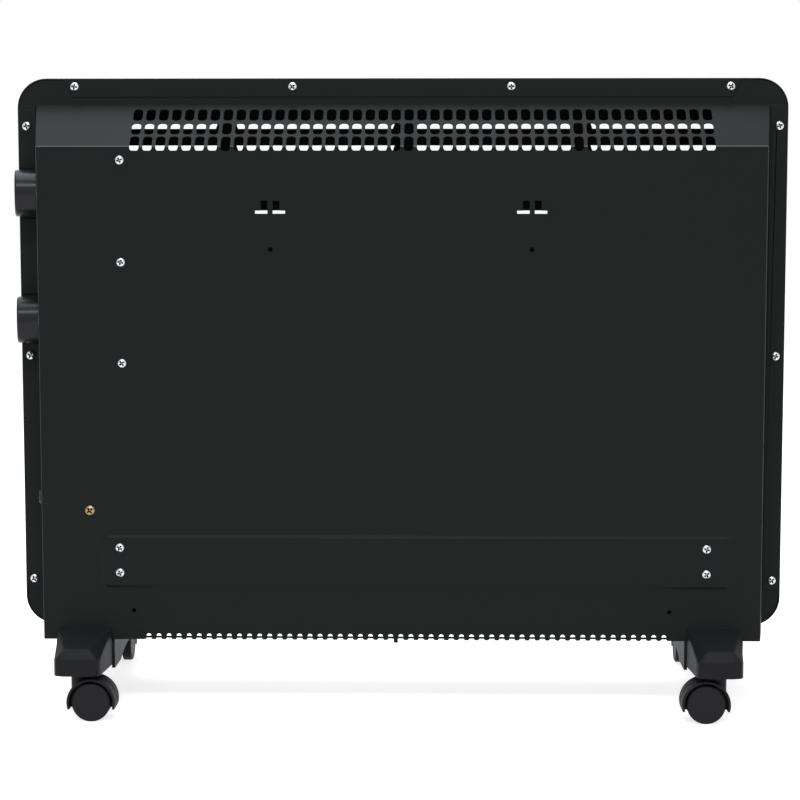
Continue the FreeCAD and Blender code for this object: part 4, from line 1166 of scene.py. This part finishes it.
@dataclass
class SoftCopies:
    """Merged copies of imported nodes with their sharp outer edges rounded, in millimetres."""

    roots: Pair = (85.0, -45.0)
    tip: float = 133.0
    core: float = 11.5
    fuller: float = 2.2
    foot_round: float = 1.6
    foot_low: float = 41.0
    foot_slack: float = 3.0
    foot_bend_deg: float = 20.0
    root_share: float = 0.08
    casing_y: float = 49.0
    casing_middle: float = 297.8
    casing_round: float = 0.7

    def nose_reach(self, y: float) -> float:
        """How far along a nose a depth lies: 0 or less at the root, 1 at the tip."""
        rear, front = self.roots
        return max((y - rear) / (self.tip - rear), (front - y) / (self.tip + front))

    def foot(self, node: str) -> None:
        """A moulded foot with fuller noses and soft upper edges.

        Args:
            node: the foot's node.
        """
        bm = merged_copy(node)
        across = [v.co.x for v in bm.verts]
        middle = (min(across) + max(across)) / 2
        for vert in bm.verts:
            reach = self.nose_reach(vert.co.y)
            if reach > 0 and abs(vert.co.x - middle) > self.core:
                vert.co.x += math.copysign(self.fuller * reach, vert.co.x - middle)
        bmesh.ops.recalc_face_normals(bm, faces=bm.faces)
        edges = [
            e
            for e in bm.edges
            if len(e.link_faces) == 2
            and e.is_convex
            and e.calc_face_angle(0) > math.radians(self.foot_bend_deg)
            and min(v.co.z for v in e.verts) > self.foot_low - self.foot_slack
            and max(v.co.z for v in e.verts) > self.foot_low
            and self.nose_reach((e.verts[0].co.y + e.verts[1].co.y) / 2) > self.root_share
        ]
        soften(bm, edges, self.foot_round, 3)
        dress_piece(mesh_object(bm, node + "_soft"), Slot.FOOT, "heater", [node])

    def sheet(self, node: str) -> None:
        """A folded sheet whose round corners are shaded as one surface and whose rear fold is rounded.

        Args:
            node: the sheet's node.
        """
        bm = merged_copy(node)
        bm.normal_update()
        rear = [e for e in bm.edges if all(abs(v.co.y - self.casing_y) < 0.05 for v in e.verts)]
        folds = []
        for edge in (e for e in rear if len(e.link_faces) == 2):
            wall = min(edge.link_faces, key=lambda f: abs(f.normal.y))
            out = edge.verts[0].co - Vector((0, self.casing_y, self.casing_middle))
            if abs(wall.normal.y) < 0.1 and out.dot(wall.normal) > 0:
                folds.append(edge)
        if folds:
            soften(bm, folds, self.casing_round, 3)
        dress_piece(mesh_object(bm, node + "_smooth"), Slot.POWDER, "heater", [node])

    def build(self) -> None:
        """Make all the soft copies."""
        for node in ("foot_left", "foot_right"):
            self.foot(node)
        for node in ("casing_band", "front_grille"):
            self.sheet(node)


@dataclass(frozen=True)
class Lamp:
    """One soft light.

    Attributes:
        name: the light's name.
        place: where it stands, in metres.
        aim: the point it faces, in metres.
        size: its width and height, in metres.
        watts: its power.
        tint: its colour.
    """

    name: str
    place: Triple
    aim: Triple
    size: Pair
    watts: float
    tint: Triple

    def build(self) -> None:
        """Hang the light."""
        data = bpy.data.lights.new(self.name, "AREA")
        data.shape = "RECTANGLE"
        data.size, data.size_y = self.size
        data.energy = self.watts
        data.color = self.tint
        obj = bpy.data.objects.new(self.name, data)
        obj.location = self.place
        way = Vector(self.aim) - Vector(self.place)
        obj.rotation_euler = way.to_track_quat("-Z", "Y").to_euler()
        bpy.context.collection.objects.link(obj)


@dataclass
class Studio:
    """Floor, light and camera.

    Attributes:
        pitch_deg: the camera's downward tilt.
        turn_deg: the camera's heading.
        place_mm: the camera's place.
        focal_px: focal length in pixels of an 800 pixel wide picture.
        axis_px: column of the optical axis in that picture.
        drop_px: how far the optical axis lies below the middle row.
        picture_px: the picture's width.
        sky: strength of the light from all round.
        floor_glow: what the floor adds to the camera's view of it.
        lamps: the soft lights.
    """

    pitch_deg: float = 5.723
    turn_deg: float = 181.014
    place_mm: Triple = (-34.3, 1794.7, 434.0)
    focal_px: float = 2072.4
    axis_px: float = 405.9
    drop_px: float = 0.5
    picture_px: float = 800.0
    sky: float = 0.4
    floor_glow: float = 0.75
    lamps: Tuple[Lamp, ...] = (
        Lamp("overhead", (0.25, -0.2, 2.4), (0.1, 0.0, 0.3), (1.5, 2.0), 40.0, (0.86, 0.92, 1.0)),
        Lamp("rear_strip", (0.0, 2.3, 2.4), (0.0, 0.1, 0.3), (2.4, 0.25), 38.0, (0.96, 0.99, 1.0)),
        Lamp("front_fill", (0.6, -2.2, 1.6), (0.0, 0.0, 0.3), (1.6, 1.6), 10.0, (0.93, 0.96, 1.0)),
    )

    def camera(self) -> None:
        """Place the camera at the photograph's viewing angle."""
        data = bpy.data.cameras.new("camera")
        data.sensor_width = 36.0
        data.lens = self.focal_px / self.picture_px * data.sensor_width
        data.shift_x = (self.picture_px / 2 - self.axis_px) / self.picture_px
        data.shift_y = self.drop_px / self.picture_px
        data.clip_end = 50.0
        obj = bpy.data.objects.new("camera", data)
        obj.location = Vector(self.place_mm) * MM
        obj.rotation_euler = (math.radians(90 - self.pitch_deg), 0, math.radians(self.turn_deg))
        bpy.context.collection.objects.link(obj)
        bpy.context.scene.camera = obj

    @staticmethod
    def seen(tree: bpy.types.NodeTree) -> bpy.types.NodeSocket:
        """1 where a ray shows the background: from the camera, in a reflection or through glass.

        Args:
            tree: the node tree.

        Returns:
            The socket.
        """
        path = tree.nodes.new("ShaderNodeLightPath").outputs
        total = path["Is Camera Ray"]
        for word in ("Is Glossy Ray", "Is Transmission Ray"):
            step = tree.nodes.new("ShaderNodeMath")
            step.operation = "MAXIMUM"
            tree.links.new(total, step.inputs[0])
            tree.links.new(path[word], step.inputs[1])
            total = step.outputs["Value"]
        return total

    def world(self) -> None:
        """White behind the object to the eye, a softer grey for its light."""
        world = bpy.data.worlds.new("studio")
        world.use_nodes = True
        bpy.context.scene.world = world
        tree = world.node_tree
        tree.nodes.clear()
        dim = add_node(tree, "ShaderNodeBackground", Color=(1, 1, 1, 1), Strength=self.sky)
        white = add_node(tree, "ShaderNodeBackground", Color=(1, 1, 1, 1), Strength=1.0)
        mix = add_node(tree, "ShaderNodeMixShader", Fac=self.seen(tree))
        tree.links.new(dim.outputs["Background"], mix.inputs[1])
        tree.links.new(white.outputs["Background"], mix.inputs[2])
        add_node(tree, "ShaderNodeOutputWorld", Surface=mix.outputs["Shader"])

    def floor(self) -> None:
        """A pale floor that keeps the object's shadow and reads as white to the camera."""
        bm = bmesh.new()
        bmesh.ops.create_grid(bm, x_segments=1, y_segments=1, size=12.0 / MM)
        obj = mesh_object(bm, "floor")
        material = bpy.data.materials.new("pale_floor")
        material.use_nodes = True
        tree = material.node_tree
        tree.nodes.clear()
        matt = add_node(tree, "ShaderNodeBsdfDiffuse", Color=(0.8, 0.8, 0.8, 1))
        glow = add_node(tree, "ShaderNodeEmission", Color=(1, 1, 1, 1), Strength=self.floor_glow)
        both = tree.nodes.new("ShaderNodeAddShader")
        tree.links.new(matt.outputs["BSDF"], both.inputs[0])
        tree.links.new(glow.outputs["Emission"], both.inputs[1])
        mix = add_node(tree, "ShaderNodeMixShader", Fac=self.seen(tree))
        tree.links.new(matt.outputs["BSDF"], mix.inputs[1])
        tree.links.new(both.outputs["Shader"], mix.inputs[2])
        add_node(tree, "ShaderNodeOutputMaterial", Surface=mix.outputs["Shader"])
        obj.data.materials.append(material)

    def build(self) -> None:
        """Set up the whole studio."""
        view = bpy.context.scene.view_settings
        view.view_transform = "Standard"
        self.world()
        self.floor()
        for lamp in self.lamps:
            lamp.build()
        self.camera()


def castor_places() -> Dict[str, Matrix]:
    """Each castor's frame on the floor below its stem, X towards its axle at rest.

    Returns:
        Frames by end and side.
    """
    places = {}
    for joint in frame["joints"]:
        if joint["name"].startswith("swivel_"):
            tag = joint["name"][len("swivel_") :]
            x, y, _ = (v / MM for v in joint["pos_m"])
            heading = (180.0 if x > 0 else 0.0) if y > 0 else 90.0
            places[tag] = Matrix.Translation((x, y, 0)) @ Matrix.Rotation(math.radians(heading), 4, "Z")
    return places


def main() -> None:
    """Dress the frame, add the finer pieces and set up the studio."""
    dress_nodes()
    shell = RearShell()
    shell.build()
    Fasteners().build()
    for word, z in zip(("thermostat", "power"), shell.control_z):
        Knob().build(word + "_knob", word + "_dial", shell.wall_frame(z))
    for tag, place in castor_places().items():
        Castor().build(tag, place)
    SoftCopies().build()
    Studio().build()


if __name__ == "__main__":
    main()
